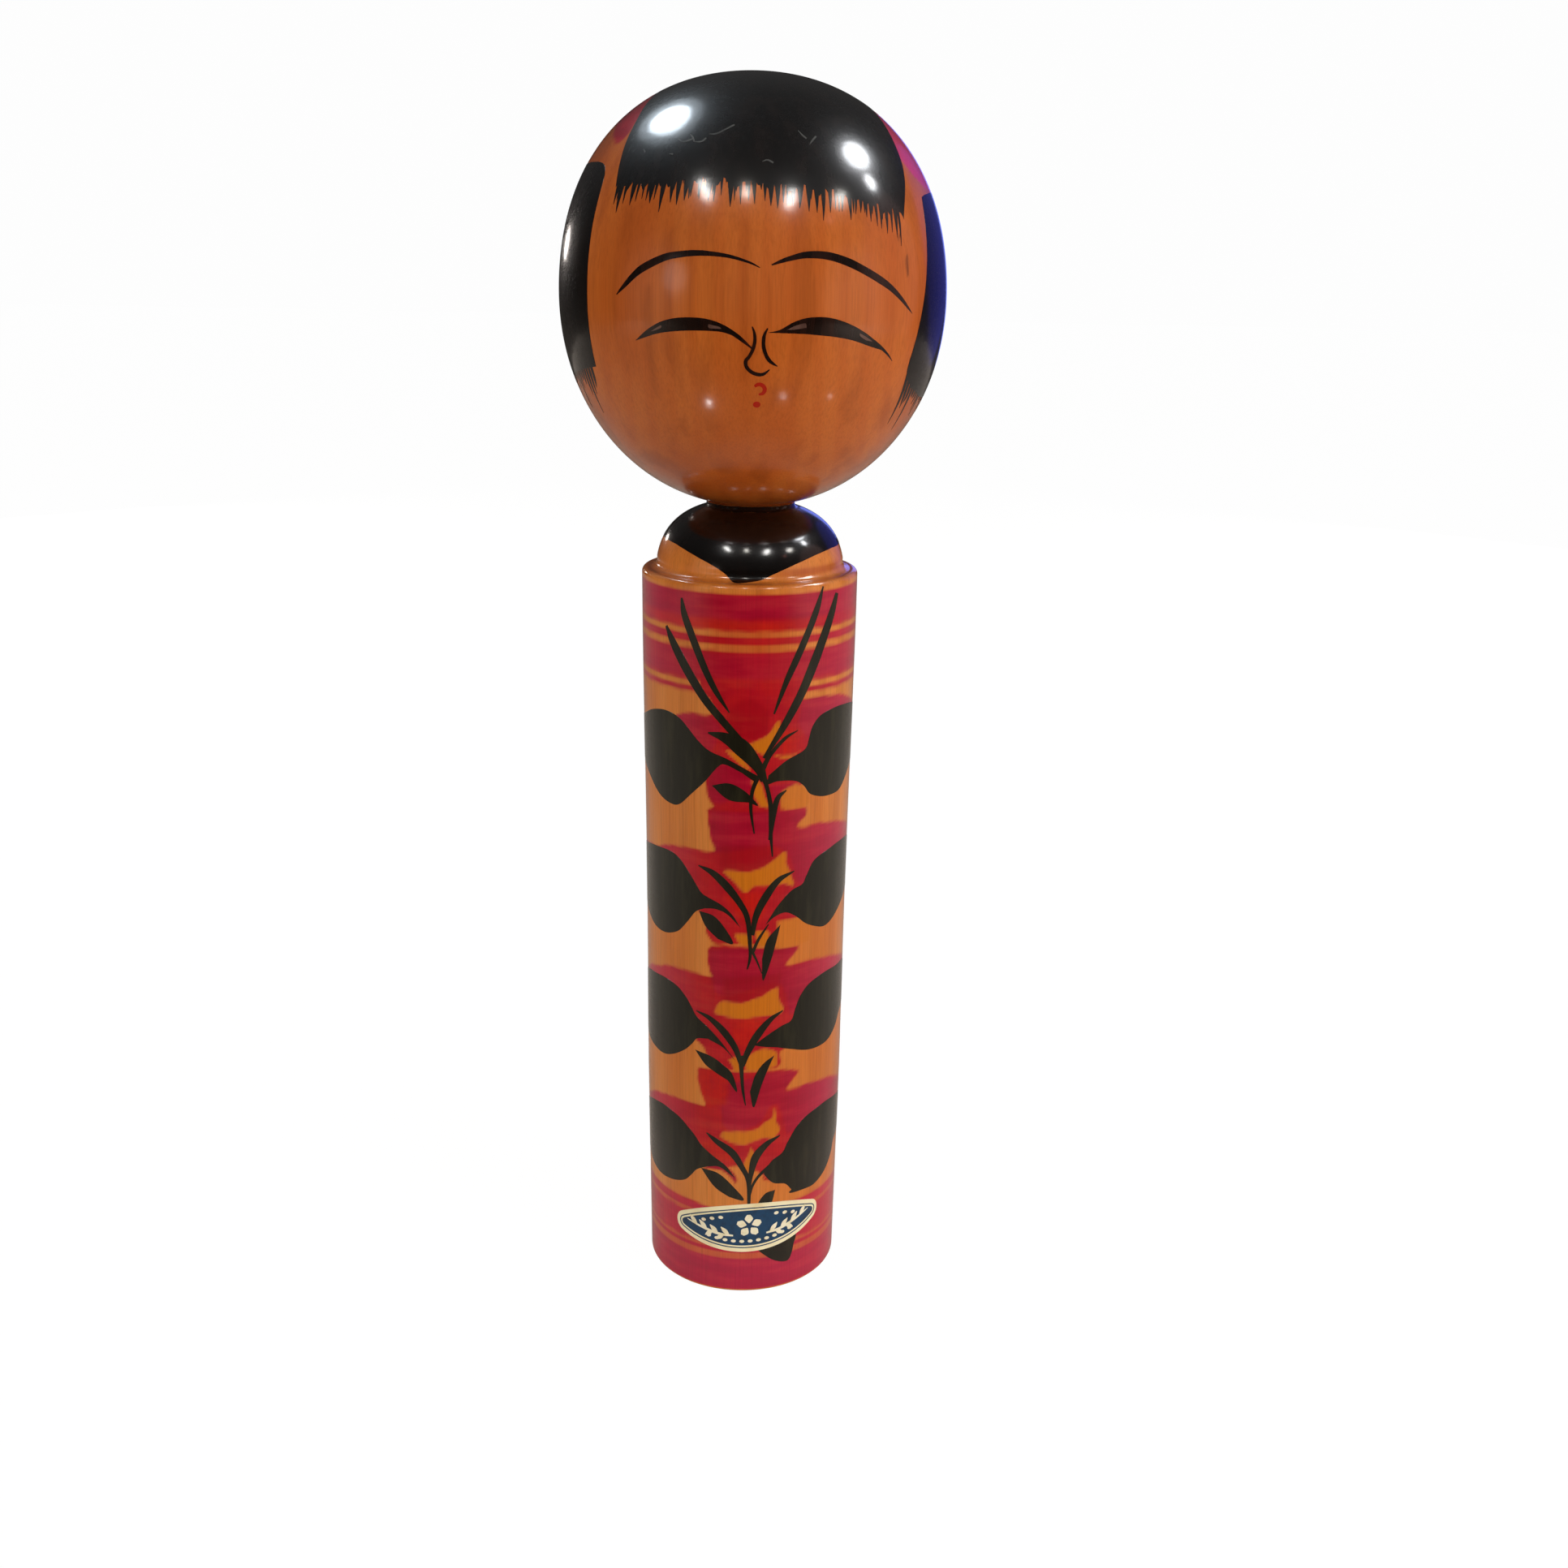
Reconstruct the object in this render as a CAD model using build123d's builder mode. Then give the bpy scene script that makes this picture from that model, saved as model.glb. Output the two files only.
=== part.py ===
"""Turned wooden kokeshi doll with a snap-in head that turns on its body.

Three pieces: a solid turned body with a domed shoulder and an undercut socket,
a solid turned head with its neck and nub in one piece with it, and a thin
paper award label pasted round the foot of the body.

Frame: +Z up the doll's axis, the face looks along -Y, and the origin is the
centre of the circle that the body stands on. Millimetres.
"""
from build123d import *
import math
import os

# Driving dimensions ---------------------------------------------------------

TOTAL_HEIGHT = 303.8        # about ten sun, a standard size of this doll

# Body
BASE_RADIUS = 25.2
TAPER_TOP_Z = 56.0          # the foot is a straight taper up to here
TAPER_TOP_RADIUS = 25.8
WAIST_Z = 112.0
WAIST_RADIUS = 25.9
CHEST_Z = 168.0
CHEST_RADIUS = 26.5
LEDGE_Z = 190.9             # the step between the side and the domed shoulder
RIM_RADIUS = 26.6
RIM_ROUND = 1.3
BASE_ROUND = 0.9
STANDING_RING_WIDTH = 2.6
DISH_DEPTH = 0.8            # hollow of the underside, so it stands on its ring

# Domed shoulder: a quarter of an egg, from its foot to its crown
DOME_FOOT_Z = 188.7
DOME_RADIUS = 23.3
DOME_CROWN_Z = 207.2        # of the whole egg, before the socket is bored through it
DOME_FULLNESS = 0.68        # Bezier handle over the axis it lies on
DOME_COVE = 2.0
STUB_RADIUS = 10.7          # a low stub near the crown of the dome
STUB_COVE = 0.8
SEAT_Z = 206.9              # the flat top of the stub, which the head sits on

# Head: two quarters of an egg that meet at its widest circle
HEAD_RADIUS = 45.4
HEAD_WIDEST_Z = 254.6
HEAD_BOTTOM_Z = 206.0       # of the whole egg, before its lower end is faced off
HEAD_UPPER_FULLNESS = 0.61
HEAD_LOWER_FULLNESS = 0.545
HEAD_UNDERSIDE_FULLNESS = 0.595

# Neck and nub, and the socket that holds them
NECK_RADIUS = 8.0
NUB_RADIUS = 8.9
NUB_TIP_RADIUS = 7.0
NUB_SHOULDER_Z = 199.5      # the neck ends here and the nub flares out
NUB_WIDEST_Z = 198.0
NUB_TAPER_Z = 192.5
NUB_TIP_Z = 189.5
THROAT_CLEARANCE = 0.05
NUB_CLEARANCE = 0.08
END_PLAY = 0.3
SEAT_GAP = 0.15
MOUTH_CHAMFER = 0.6

# Award label: a lens of paper with rounded tips, pasted on the foot's taper
LABEL_THICKNESS = 0.15
LABEL_HALF_LENGTH_SHARP = 24.0      # before the tips are rounded
LABEL_HALF_HEIGHT = 7.2
LABEL_TIP_ROUND = 3.0
LABEL_CENTRE_ALONG = 2.4            # round the body from the middle of the front
LABEL_CENTRE_Z = 19.7
LABEL_TILT = 3.4                    # degrees, its right-hand tip is the higher
LABEL_EDGE_SAMPLES = 8

HEAD_TOP_Z = TOTAL_HEIGHT
FRONT = Plane.XZ                    # x to the doll's left hand, y up, normal to the face


def foot_radius(z):
    """Radius of the body's straight taper at height z."""
    return BASE_RADIUS + (TAPER_TOP_RADIUS - BASE_RADIUS) * z / TAPER_TOP_Z


def quarter_egg(side, pole, side_fullness, pole_fullness):
    """Bezier quarter from the widest point `side` to `pole` on the axis."""
    radius, side_z = side
    pole_z = pole[1]
    handle_z = side_z + side_fullness * (pole_z - side_z)
    return Bezier(side, (radius, handle_z), (pole_fullness * radius, pole_z), pole)


def circles_at(part, radius):
    """The part's circular edges of one radius, lowest first."""
    circles = part.edges().filter_by(GeomType.CIRCLE)
    return circles.filter_by(lambda edge: abs(edge.radius - radius) < 0.01).sort_by(Axis.Z)


# Body -----------------------------------------------------------------------

ring_inner = BASE_RADIUS - STANDING_RING_WIDTH

with BuildPart() as body:
    with BuildSketch(FRONT):
        # The turned column, up to the ledge
        with BuildLine():
            ThreePointArc((0, DISH_DEPTH), (ring_inner / 2, 0.75 * DISH_DEPTH), (ring_inner, 0))
            Line((ring_inner, 0), (BASE_RADIUS, 0))
            taper = Line((BASE_RADIUS, 0), (TAPER_TOP_RADIUS, TAPER_TOP_Z))
            Spline(
                (TAPER_TOP_RADIUS, TAPER_TOP_Z),
                (WAIST_RADIUS, WAIST_Z),
                (CHEST_RADIUS, CHEST_Z),
                (RIM_RADIUS, LEDGE_Z),
                tangents=(taper % 1, (0, 1)),
            )
            Line((RIM_RADIUS, LEDGE_Z), (0, LEDGE_Z))
            Line((0, LEDGE_Z), (0, DISH_DEPTH))
        make_face()
        # The domed shoulder
        with BuildLine():
            dome_side, dome_crown = (DOME_RADIUS, DOME_FOOT_Z), (0, DOME_CROWN_Z)
            quarter_egg(dome_side, dome_crown, DOME_FULLNESS, DOME_FULLNESS)
            Line((0, DOME_CROWN_Z), (0, DOME_FOOT_Z))
            Line((0, DOME_FOOT_Z), (DOME_RADIUS, DOME_FOOT_Z))
        make_face()
        # The stub on its crown
        with BuildLine():
            Polyline(
                (0, DOME_FOOT_Z),
                (STUB_RADIUS, DOME_FOOT_Z),
                (STUB_RADIUS, SEAT_Z),
                (0, SEAT_Z),
                close=True,
            )
        make_face()
    revolve(axis=Axis.Z)
    fillet(circles_at(body, STUB_RADIUS)[0], STUB_COVE)
    fillet(circles_at(body, BASE_RADIUS), BASE_ROUND)
    fillet(circles_at(body, RIM_RADIUS), RIM_ROUND)
    inner_ledge_circle = body.edges().filter_by(GeomType.CIRCLE).filter_by_position(
        Axis.Z, LEDGE_Z - 0.01, LEDGE_Z + 0.01
    ).sort_by(SortBy.RADIUS)[0]
    fillet(inner_ledge_circle, DOME_COVE)

    # The undercut socket: mouth, throat and the wider cavity for the nub
    throat_radius = NECK_RADIUS + THROAT_CLEARANCE
    cavity_radius = NUB_RADIUS + NUB_CLEARANCE
    with BuildSketch(FRONT):
        with BuildLine():
            Polyline(
                (0, DOME_CROWN_Z),
                (throat_radius, DOME_CROWN_Z),
                (throat_radius, NUB_SHOULDER_Z + END_PLAY),
                (cavity_radius, NUB_WIDEST_Z + END_PLAY),
                (cavity_radius, NUB_TAPER_Z - END_PLAY),
                (NUB_TIP_RADIUS + NUB_CLEARANCE, NUB_TIP_Z - END_PLAY),
                (0, NUB_TIP_Z - END_PLAY),
                close=True,
            )
        make_face()
    revolve(axis=Axis.Z, mode=Mode.SUBTRACT)
    chamfer(circles_at(body, throat_radius)[-1], MOUTH_CHAMFER)

body.part.label = "body"

# Head -----------------------------------------------------------------------

with BuildPart() as head:
    with BuildSketch(FRONT):
        with BuildLine():
            head_side = (HEAD_RADIUS, HEAD_WIDEST_Z)
            head_top, head_bottom = (0, HEAD_TOP_Z), (0, HEAD_BOTTOM_Z)
            quarter_egg(head_side, head_top, HEAD_UPPER_FULLNESS, HEAD_UPPER_FULLNESS)
            quarter_egg(head_side, head_bottom, HEAD_LOWER_FULLNESS, HEAD_UNDERSIDE_FULLNESS)
            Line(head_top, head_bottom)
        make_face()
    revolve(axis=Axis.Z)
    split(bisect_by=Plane.XY.offset(SEAT_Z + SEAT_GAP), keep=Keep.TOP)
    # The neck and nub
    with BuildSketch(FRONT):
        with BuildLine():
            Polyline(
                (0, HEAD_WIDEST_Z),
                (NECK_RADIUS, HEAD_WIDEST_Z),
                (NECK_RADIUS, NUB_SHOULDER_Z),
                (NUB_RADIUS, NUB_WIDEST_Z),
                (NUB_RADIUS, NUB_TAPER_Z),
                (NUB_TIP_RADIUS, NUB_TIP_Z),
                (0, NUB_TIP_Z),
                close=True,
            )
        make_face()
    revolve(axis=Axis.Z)

head.part.label = "head"

# Award label ----------------------------------------------------------------


def pasted(point):
    """Where a point of the flat label is seen from the front once it is pasted on."""
    tilted = point.rotate(Axis.Z, LABEL_TILT)
    radius = foot_radius(LABEL_CENTRE_Z)
    along = LABEL_CENTRE_ALONG + tilted.X
    return (radius * math.sin(along / radius), LABEL_CENTRE_Z + tilted.Y)


with BuildSketch() as flat_label:
    with BuildLine():
        left_tip = (-LABEL_HALF_LENGTH_SHARP, 0)
        right_tip = (LABEL_HALF_LENGTH_SHARP, 0)
        ThreePointArc(left_tip, (0, LABEL_HALF_HEIGHT), right_tip)
        ThreePointArc(right_tip, (0, -LABEL_HALF_HEIGHT), left_tip)
    make_face()
    fillet(flat_label.vertices(), LABEL_TIP_ROUND)

with BuildPart() as award_label:
    label_bottom_z = LABEL_CENTRE_Z - 2 * LABEL_HALF_HEIGHT
    label_top_z = LABEL_CENTRE_Z + 2 * LABEL_HALF_HEIGHT
    with BuildSketch(FRONT):
        with BuildLine():
            Polyline(
                (foot_radius(label_bottom_z), label_bottom_z),
                (foot_radius(label_bottom_z) + LABEL_THICKNESS, label_bottom_z),
                (foot_radius(label_top_z) + LABEL_THICKNESS, label_top_z),
                (foot_radius(label_top_z), label_top_z),
                close=True,
            )
        make_face()
    revolve(axis=Axis.Z)
    with BuildSketch(FRONT):
        with BuildLine():
            for edge in flat_label.wire().edges():
                steps = [i / LABEL_EDGE_SAMPLES for i in range(LABEL_EDGE_SAMPLES + 1)]
                Spline([pasted(edge @ step) for step in steps])
        make_face()
    extrude(amount=2 * BASE_RADIUS, mode=Mode.INTERSECT)

award_label.part.label = "award_label"

# Files ----------------------------------------------------------------------

os.makedirs("parts", exist_ok=True)
export_step(body.part, "parts/body.step")
export_step(head.part, "parts/head.step")
export_step(award_label.part, "parts/award_label.step")
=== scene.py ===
"""The looks of a turned wooden kokeshi doll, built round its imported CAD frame.

The body and the head are finely turned meshes that stand for the CAD solids of the same
shape, so that they can carry dye at each point. The ink of the body, the hair and the face,
and the printing of the label are thin closed skins that follow the turned surfaces.

Everything here is worked out in millimetres and becomes metres when a mesh is made. Places
on the surfaces are given as the painter would measure them:
  body   (mm round from the middle of the front, mm above the foot)
  dome   (degrees round from the middle of the front, mm of arc out from the crown)
  head   (mm round the widest circle from the middle of the front, mm of arc above BROW_LINE_Z)
Most of the head's outlines are written in degrees round, which degrees_round turns to mm.
Round is positive towards +X, the viewer's right when looking at the face.
"""
import math

import bpy
import numpy as np
from mathutils import Matrix, Vector
from mathutils.geometry import delaunay_2d_cdt


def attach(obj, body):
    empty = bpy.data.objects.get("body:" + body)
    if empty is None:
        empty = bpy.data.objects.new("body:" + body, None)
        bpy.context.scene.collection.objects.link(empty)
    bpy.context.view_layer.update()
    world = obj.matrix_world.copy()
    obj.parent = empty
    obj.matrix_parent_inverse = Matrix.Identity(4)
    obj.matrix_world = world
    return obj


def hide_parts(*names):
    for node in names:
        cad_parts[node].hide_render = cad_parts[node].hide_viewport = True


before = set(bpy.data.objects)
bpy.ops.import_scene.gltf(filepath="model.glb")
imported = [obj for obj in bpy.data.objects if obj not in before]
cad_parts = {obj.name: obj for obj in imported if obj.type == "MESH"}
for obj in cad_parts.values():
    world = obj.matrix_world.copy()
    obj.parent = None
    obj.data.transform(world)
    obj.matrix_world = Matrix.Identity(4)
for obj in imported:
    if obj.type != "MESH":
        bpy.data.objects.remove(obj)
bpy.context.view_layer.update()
MM = 0.001
UPRIGHT = Vector((0, 0, 1))

# --- Turned outlines ----------------------------------------------------------------------

ROW_STEP = 0.6              # mm between the rings of the body's mesh
HEAD_ROW_STEP = 0.75        # and of the head's
CURVE_SAMPLES = 400         # points worked out along a Bezier curve, before they are spaced
SPAN_SAMPLES = 24           # and between two given points of a smooth path
FRONT_HALF_ANGLE = 1.65     # radians each side of the front that get the closest columns
INK_HEIGHT = 0.045          # mm that a skin of ink stands off the wood
INK_ROOT = 0.05             # mm that its underside is sunk into the wood


def line(start, end):
    """Points from start to end, both included."""
    count = max(1, math.ceil(math.dist(start, end) / ROW_STEP))
    return [tuple(np.array(start) + (np.array(end) - start) * i / count) for i in range(count + 1)]


def arc(centre, radius, start, end, step=0.35):
    """Points on a circle between two angles in degrees."""
    count = max(3, math.ceil(abs(math.radians(end - start)) * radius / step))
    angles = np.radians(np.linspace(start, end, count + 1))
    return [(centre[0] + radius * math.cos(a), centre[1] + radius * math.sin(a)) for a in angles]


def bezier(p0, p1, p2, p3, step=ROW_STEP):
    """Points on a cubic Bezier curve, evenly spaced along it."""
    t = np.linspace(0, 1, CURVE_SAMPLES)[:, None]
    p0, p1, p2, p3 = (np.array(p, float) for p in (p0, p1, p2, p3))
    fine = (1 - t) ** 3 * p0 + 3 * (1 - t) ** 2 * t * p1 + 3 * (1 - t) * t * t * p2 + t**3 * p3
    return spaced(fine, step)


def quarter_egg(radius, side_z, pole_z, side_fullness, pole_fullness):
    """The Bezier points of a quarter egg, from its widest point to its pole on the axis."""
    handle_z = side_z + side_fullness * (pole_z - side_z)
    return [(radius, side_z), (radius, handle_z), (pole_fullness * radius, pole_z), (0, pole_z)]


def spaced(points, step):
    """The same path with points evenly spaced about step apart."""
    points = np.asarray(points, float)
    along = np.concatenate([[0], np.cumsum(np.hypot(*np.diff(points, axis=0).T))])
    count = max(1, math.ceil(along[-1] / step))
    wanted = np.linspace(0, along[-1], count + 1)
    return [tuple(p) for p in np.stack([np.interp(wanted, along, c) for c in points.T], 1)]


def smooth(points, step=0.5):
    """A smooth path through a few points (Catmull-Rom), evenly spaced."""
    points = np.asarray(points, float)
    if len(points) < 3:
        return spaced(points, step)
    ends = np.vstack([2 * points[0] - points[1], points, 2 * points[-1] - points[-2]])
    t = np.linspace(0, 1, SPAN_SAMPLES, endpoint=False)[:, None]
    path = []
    for a, b, c, d in zip(ends, ends[1:], ends[2:], ends[3:]):
        cubic = 2 * b + (c - a) * t + (2 * a - 5 * b + 4 * c - d) * t**2
        path.append(0.5 * (cubic + (3 * b - a - 3 * c + d) * t**3))
    return spaced(np.vstack([*path, points[-1:]]), step)


class Turned:
    """A surface turned about Z from an outline of (radius, height) that runs upwards."""

    def __init__(self, outline):
        kept = [outline[0]]
        for point in outline[1:]:
            if math.dist(point, kept[-1]) > 1e-6:
                kept.append(point)
        self.radius, self.height = np.array(kept).T
        steps = np.hypot(np.diff(self.radius), np.diff(self.height))
        self.along = np.concatenate([[0], np.cumsum(steps)])
        rise, run = np.gradient(self.height, self.along), np.gradient(self.radius, self.along)
        length = np.hypot(rise, run)
        self.normal_out, self.normal_up = rise / length, -run / length

    def read(self, along, *columns):
        """Values of the outline's columns at a distance along it."""
        return [np.interp(along, self.along, column) for column in columns]

    def at(self, angle, along, lift=0.0):
        """Points at an angle round from the front and a distance along the outline, in mm."""
        radius, height, out, up = self.read(
            along, self.radius, self.height, self.normal_out, self.normal_up
        )
        radius, height = radius + lift * out, height + lift * up
        return np.stack([radius * np.sin(angle), -radius * np.cos(angle), height], -1)

    def normal(self, angle, along):
        """The surface's normals at such places."""
        out, up = self.read(along, self.normal_out, self.normal_up)
        return np.stack([out * np.sin(angle), -out * np.cos(angle), up + 0 * angle], -1)

    def along_at(self, height):
        """Distance along the outline of the first point at a height."""
        index = np.argmax(self.height >= height - 1e-9)
        pair = slice(index - 1, index + 1)
        return float(np.interp(height, self.height[pair], self.along[pair]))


# The body, upwards from the middle of its dished underside to the floor of its socket
BASE_R, DISH, RING_IN, BASE_ROUND = 25.2, 0.8, 22.6, 0.9
RIM_R, LEDGE_Z, RIM_ROUND = 26.6, 190.9, 1.3
DOME_R, DOME_FOOT_Z, DOME_CROWN_Z, DOME_COVE = 23.3, 188.7, 207.2, 2.0
DOME_FULLNESS = 0.68        # Bezier handle over the axis it lies on
STUB_R, STUB_COVE, SEAT_Z = 10.7, 0.8, 206.9
SIDE = [(25.2, 0), (25.8, 56), (25.9, 112), (26.5, 168), (26.6, LEDGE_Z - RIM_ROUND)]
THROAT_R, MOUTH, CAVITY_R, SOCKET_FLOOR_R = 8.05, 0.6, 8.98, 7.08
THROAT_END_Z, CAVITY_TOP_Z, CAVITY_LOW_Z, SOCKET_FLOOR_Z = 199.8, 198.3, 192.2, 189.2

side_path = smooth(SIDE[1:], ROW_STEP)
whole_dome = bezier(*quarter_egg(DOME_R, DOME_FOOT_Z, DOME_CROWN_Z, DOME_FULLNESS, DOME_FULLNESS))
whole_dome = [p for p in whole_dome if p[1] > LEDGE_Z + DOME_COVE]
dome_path = [p for p in whole_dome if p[0] > STUB_R + 0.7 * STUB_COVE]      # up to the stub's cove
foot_of_dome = dome_path[0][0]
(r1, z1), (r2, z2) = dome_path[-2:]
dome_slope = math.atan2(z2 - z1, r1 - r2)
stub_cove_z = z2 + STUB_COVE * math.cos(dome_slope)
DOME_REACH = sum(math.dist(p, q) for p, q in zip(whole_dome, whole_dome[1:]))
body_surface = Turned(
    smooth([(0, DISH), (RING_IN / 2, 0.75 * DISH), (RING_IN, 0)], 1.8)
    + line((RING_IN, 0), (BASE_R - BASE_ROUND, 0))
    + arc((BASE_R - BASE_ROUND, BASE_ROUND), BASE_ROUND, -90, 0)
    + line((BASE_R, BASE_ROUND), SIDE[1])
    + side_path
    + arc((RIM_R - RIM_ROUND, LEDGE_Z - RIM_ROUND), RIM_ROUND, 0, 90)
    + arc((foot_of_dome + DOME_COVE, LEDGE_Z + DOME_COVE), DOME_COVE, 270, 180)
    + dome_path
    + arc((STUB_R + STUB_COVE, stub_cove_z), STUB_COVE, 270 - math.degrees(dome_slope), 180)
    + line((STUB_R, SEAT_Z), (THROAT_R + MOUTH, SEAT_Z))
    + [(THROAT_R, SEAT_Z - MOUTH), (THROAT_R, THROAT_END_Z)]
    + [(CAVITY_R, CAVITY_TOP_Z), (CAVITY_R, CAVITY_LOW_Z)]
    + [(SOCKET_FLOOR_R, SOCKET_FLOOR_Z), (0, SOCKET_FLOOR_Z)]
)

# The head, upwards from the tip of its nub to its crown
HEAD_R, WIDEST_Z, HEAD_TOP_Z, HEAD_BOTTOM_Z = 45.4, 254.6, 303.8, 206.0
UPPER_FULLNESS, LOWER_FULLNESS, UNDERSIDE_FULLNESS = 0.61, 0.545, 0.595     # Bezier handles too
SEAT_GAP, NECK_R, NUB_R, NUB_TIP_R = 0.15, 8.0, 8.9, 7.0
NUB_SHOULDER_Z, NUB_WIDEST_Z, NUB_TAPER_Z, NUB_TIP_Z = 199.5, 198.0, 192.5, 189.5
FACED_OFF_Z = SEAT_Z + SEAT_GAP

lower_egg = quarter_egg(HEAD_R, WIDEST_Z, HEAD_BOTTOM_Z, LOWER_FULLNESS, UNDERSIDE_FULLNESS)
upper_egg = quarter_egg(HEAD_R, WIDEST_Z, HEAD_TOP_Z, UPPER_FULLNESS, UPPER_FULLNESS)
lower_head = [p for p in bezier(*lower_egg[::-1], HEAD_ROW_STEP) if p[1] > FACED_OFF_Z]
seat_edge = lower_head[0][0] - 0.3      # the faced-off end stops just inside the egg
head_surface = Turned(
    [(0, NUB_TIP_Z), (NUB_TIP_R, NUB_TIP_Z), (NUB_R, NUB_TAPER_Z), (NUB_R, NUB_WIDEST_Z)]
    + [(NECK_R, NUB_SHOULDER_Z)]
    + line((NECK_R, FACED_OFF_Z), (seat_edge, FACED_OFF_Z))
    + lower_head
    + bezier(*upper_egg, HEAD_ROW_STEP)
)

# Marks along the two outlines
FOOT = body_surface.along_at(BASE_ROUND)
SHOULDER = body_surface.along_at(LEDGE_Z)
DOME_FOOT = body_surface.along_at(LEDGE_Z + DOME_COVE)
SEAT = body_surface.along_at(SEAT_Z - 0.05)
BROW_LINE_Z = 253.5     # the level that the painter measures the head from
LEVEL = head_surface.along_at(BROW_LINE_Z)
CROWN = head_surface.along[-1] - LEVEL      # mm of arc from that level to the crown


def side_radius(height):
    """Radius of the body's side at a height."""
    return np.interp(height, [z for _, z in SIDE], [radius for radius, _ in SIDE])


def on_body(points):
    """(mm round, height) on the body's side to (angle, distance along its outline)."""
    side = (body_surface.along >= FOOT) & (body_surface.along <= SHOULDER)
    along = np.interp(points[:, 1], body_surface.height[side], body_surface.along[side])
    return points[:, 0] / side_radius(points[:, 1]), along


def on_head(points):
    """(mm round the widest circle, mm of arc above BROW_LINE_Z), likewise on the head."""
    return points[:, 0] / HEAD_R, LEVEL + points[:, 1]


def from_above(crown):
    """A flat map seen from above: distance from its middle is mm of arc from the crown."""

    def place(points):
        return np.arctan2(points[:, 0], -points[:, 1]), crown - np.hypot(*points.T)

    return place


over_dome = from_above(DOME_FOOT + DOME_REACH)
over_crown = from_above(LEVEL + CROWN)


# --- Brush shapes -------------------------------------------------------------------------

THINNEST = 0.04         # mm, the least width of a stroke
DEPTH_REACH = 4.0       # mm outside a polygon that depths are worked out


def shape(*stretches):
    """A closed outline of smooth stretches that meet at corners."""
    path = []
    for points, following in zip(stretches, stretches[1:] + stretches[:1]):
        path += smooth(list(points) + [following[0]])[:-1]
    return np.array(path)


def stroke(points, widths, step=0.45):
    """A brush stroke: a smooth line with a width at each of its points."""
    path = np.array(smooth([(*p, w) for p, w in zip(points, widths)], step))
    middle, width = path[:, :2], np.maximum(path[:, 2], THINNEST)
    ahead = np.gradient(middle, axis=0)
    ahead /= np.maximum(np.hypot(*ahead.T), 1e-9)[:, None]
    across = np.stack([-ahead[:, 1], ahead[:, 0]], 1) * width[:, None] / 2
    return np.vstack([middle + across, (middle - across)[::-1]])


def inside(points, polygon):
    """Which points lie in a polygon."""
    x, y = points[:, 0], points[:, 1]
    hit = np.zeros(len(points), bool)
    for (ax, ay), (bx, by) in zip(polygon, np.roll(polygon, -1, 0)):
        if ay != by:
            crosses = (ay > y) != (by > y)
            hit ^= crosses & (x < (bx - ax) * (y - ay) / (by - ay) + ax)
    return hit


def distance(points, polygon):
    """How far each point is from a polygon's edge."""
    best = np.full(len(points), 1e9)
    for a, b in zip(polygon, np.roll(polygon, -1, 0)):
        along = b - a
        share = np.clip(((points - a) @ along) / max(along @ along, 1e-12), 0, 1)
        gap = points - a - share[:, None] * along
        best = np.minimum(best, np.hypot(*gap.T))
    return best


def near_box(points, polygon, margin):
    """Indices of the points inside a polygon's box, grown by a margin."""
    low, high = polygon.min(0) - margin, polygon.max(0) + margin
    return np.flatnonzero(np.all((points > low) & (points < high), axis=1))


def depth(points, polygons):
    """How deep each point lies in the union of polygons, in mm, and below 0 outside."""
    deepest = np.full(len(points), -DEPTH_REACH)
    for polygon in polygons:
        near = near_box(points, polygon, DEPTH_REACH)
        if len(near):
            gap = distance(points[near], polygon)
            signed = np.where(inside(points[near], polygon), gap, -gap)
            deepest[near] = np.maximum(deepest[near], signed)
    return deepest


# --- Meshes -------------------------------------------------------------------------------

SHARP = math.radians(40)        # edges of the turned meshes that bend more are sharp
LATTICE = 1.3                   # mm between the points inside a skin


def link(name, vertices, faces):
    """A new smooth-shaded object from vertices in mm."""
    mesh = bpy.data.meshes.new(name)
    mesh.from_pydata((np.asarray(vertices) * MM).tolist(), [], faces)
    mesh.validate()
    mesh.shade_smooth()
    piece = bpy.data.objects.new(name, mesh)
    bpy.context.scene.collection.objects.link(piece)
    return piece


def turned_mesh(name, surface, front_step, back_step):
    """A closed turned solid, with closer columns at the front than at the back.

    front_step and back_step are the spacing of the columns in radians. Gives back the piece, and
    each point's angle and distance along the outline.
    """
    middle = math.ceil(2 * FRONT_HALF_ANGLE / front_step)
    front = np.linspace(-FRONT_HALF_ANGLE, FRONT_HALF_ANGLE, middle + 1)
    rest = 2 * math.pi - 2 * FRONT_HALF_ANGLE
    back = FRONT_HALF_ANGLE + np.linspace(0, rest, math.ceil(rest / back_step) + 1)[1:-1]
    angles = np.concatenate([front, back])
    rings = surface.along[1:-1]
    grid_angle, grid_along = np.meshgrid(angles, rings)
    ends = surface.at(np.zeros(2), surface.along[[0, -1]])
    vertices = np.vstack([surface.at(grid_angle, grid_along).reshape(-1, 3), ends])
    columns, last = len(angles), len(rings) - 1
    faces = []
    for row in range(last):
        for column in range(columns):
            right = (column + 1) % columns
            low, high = row * columns, (row + 1) * columns
            faces.append((low + column, low + right, high + right, high + column))
    bottom, top = len(vertices) - 2, len(vertices) - 1
    for column in range(columns):
        right = (column + 1) % columns
        faces.append((bottom, right, column))
        faces.append((top, last * columns + column, last * columns + right))
    piece = link(name, vertices, faces)
    piece.data.set_sharp_from_angle(angle=SHARP)
    angle = np.append(grid_angle.ravel(), [0, 0])
    along = np.append(grid_along.ravel(), surface.along[[0, -1]])
    return piece, angle, along


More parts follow.
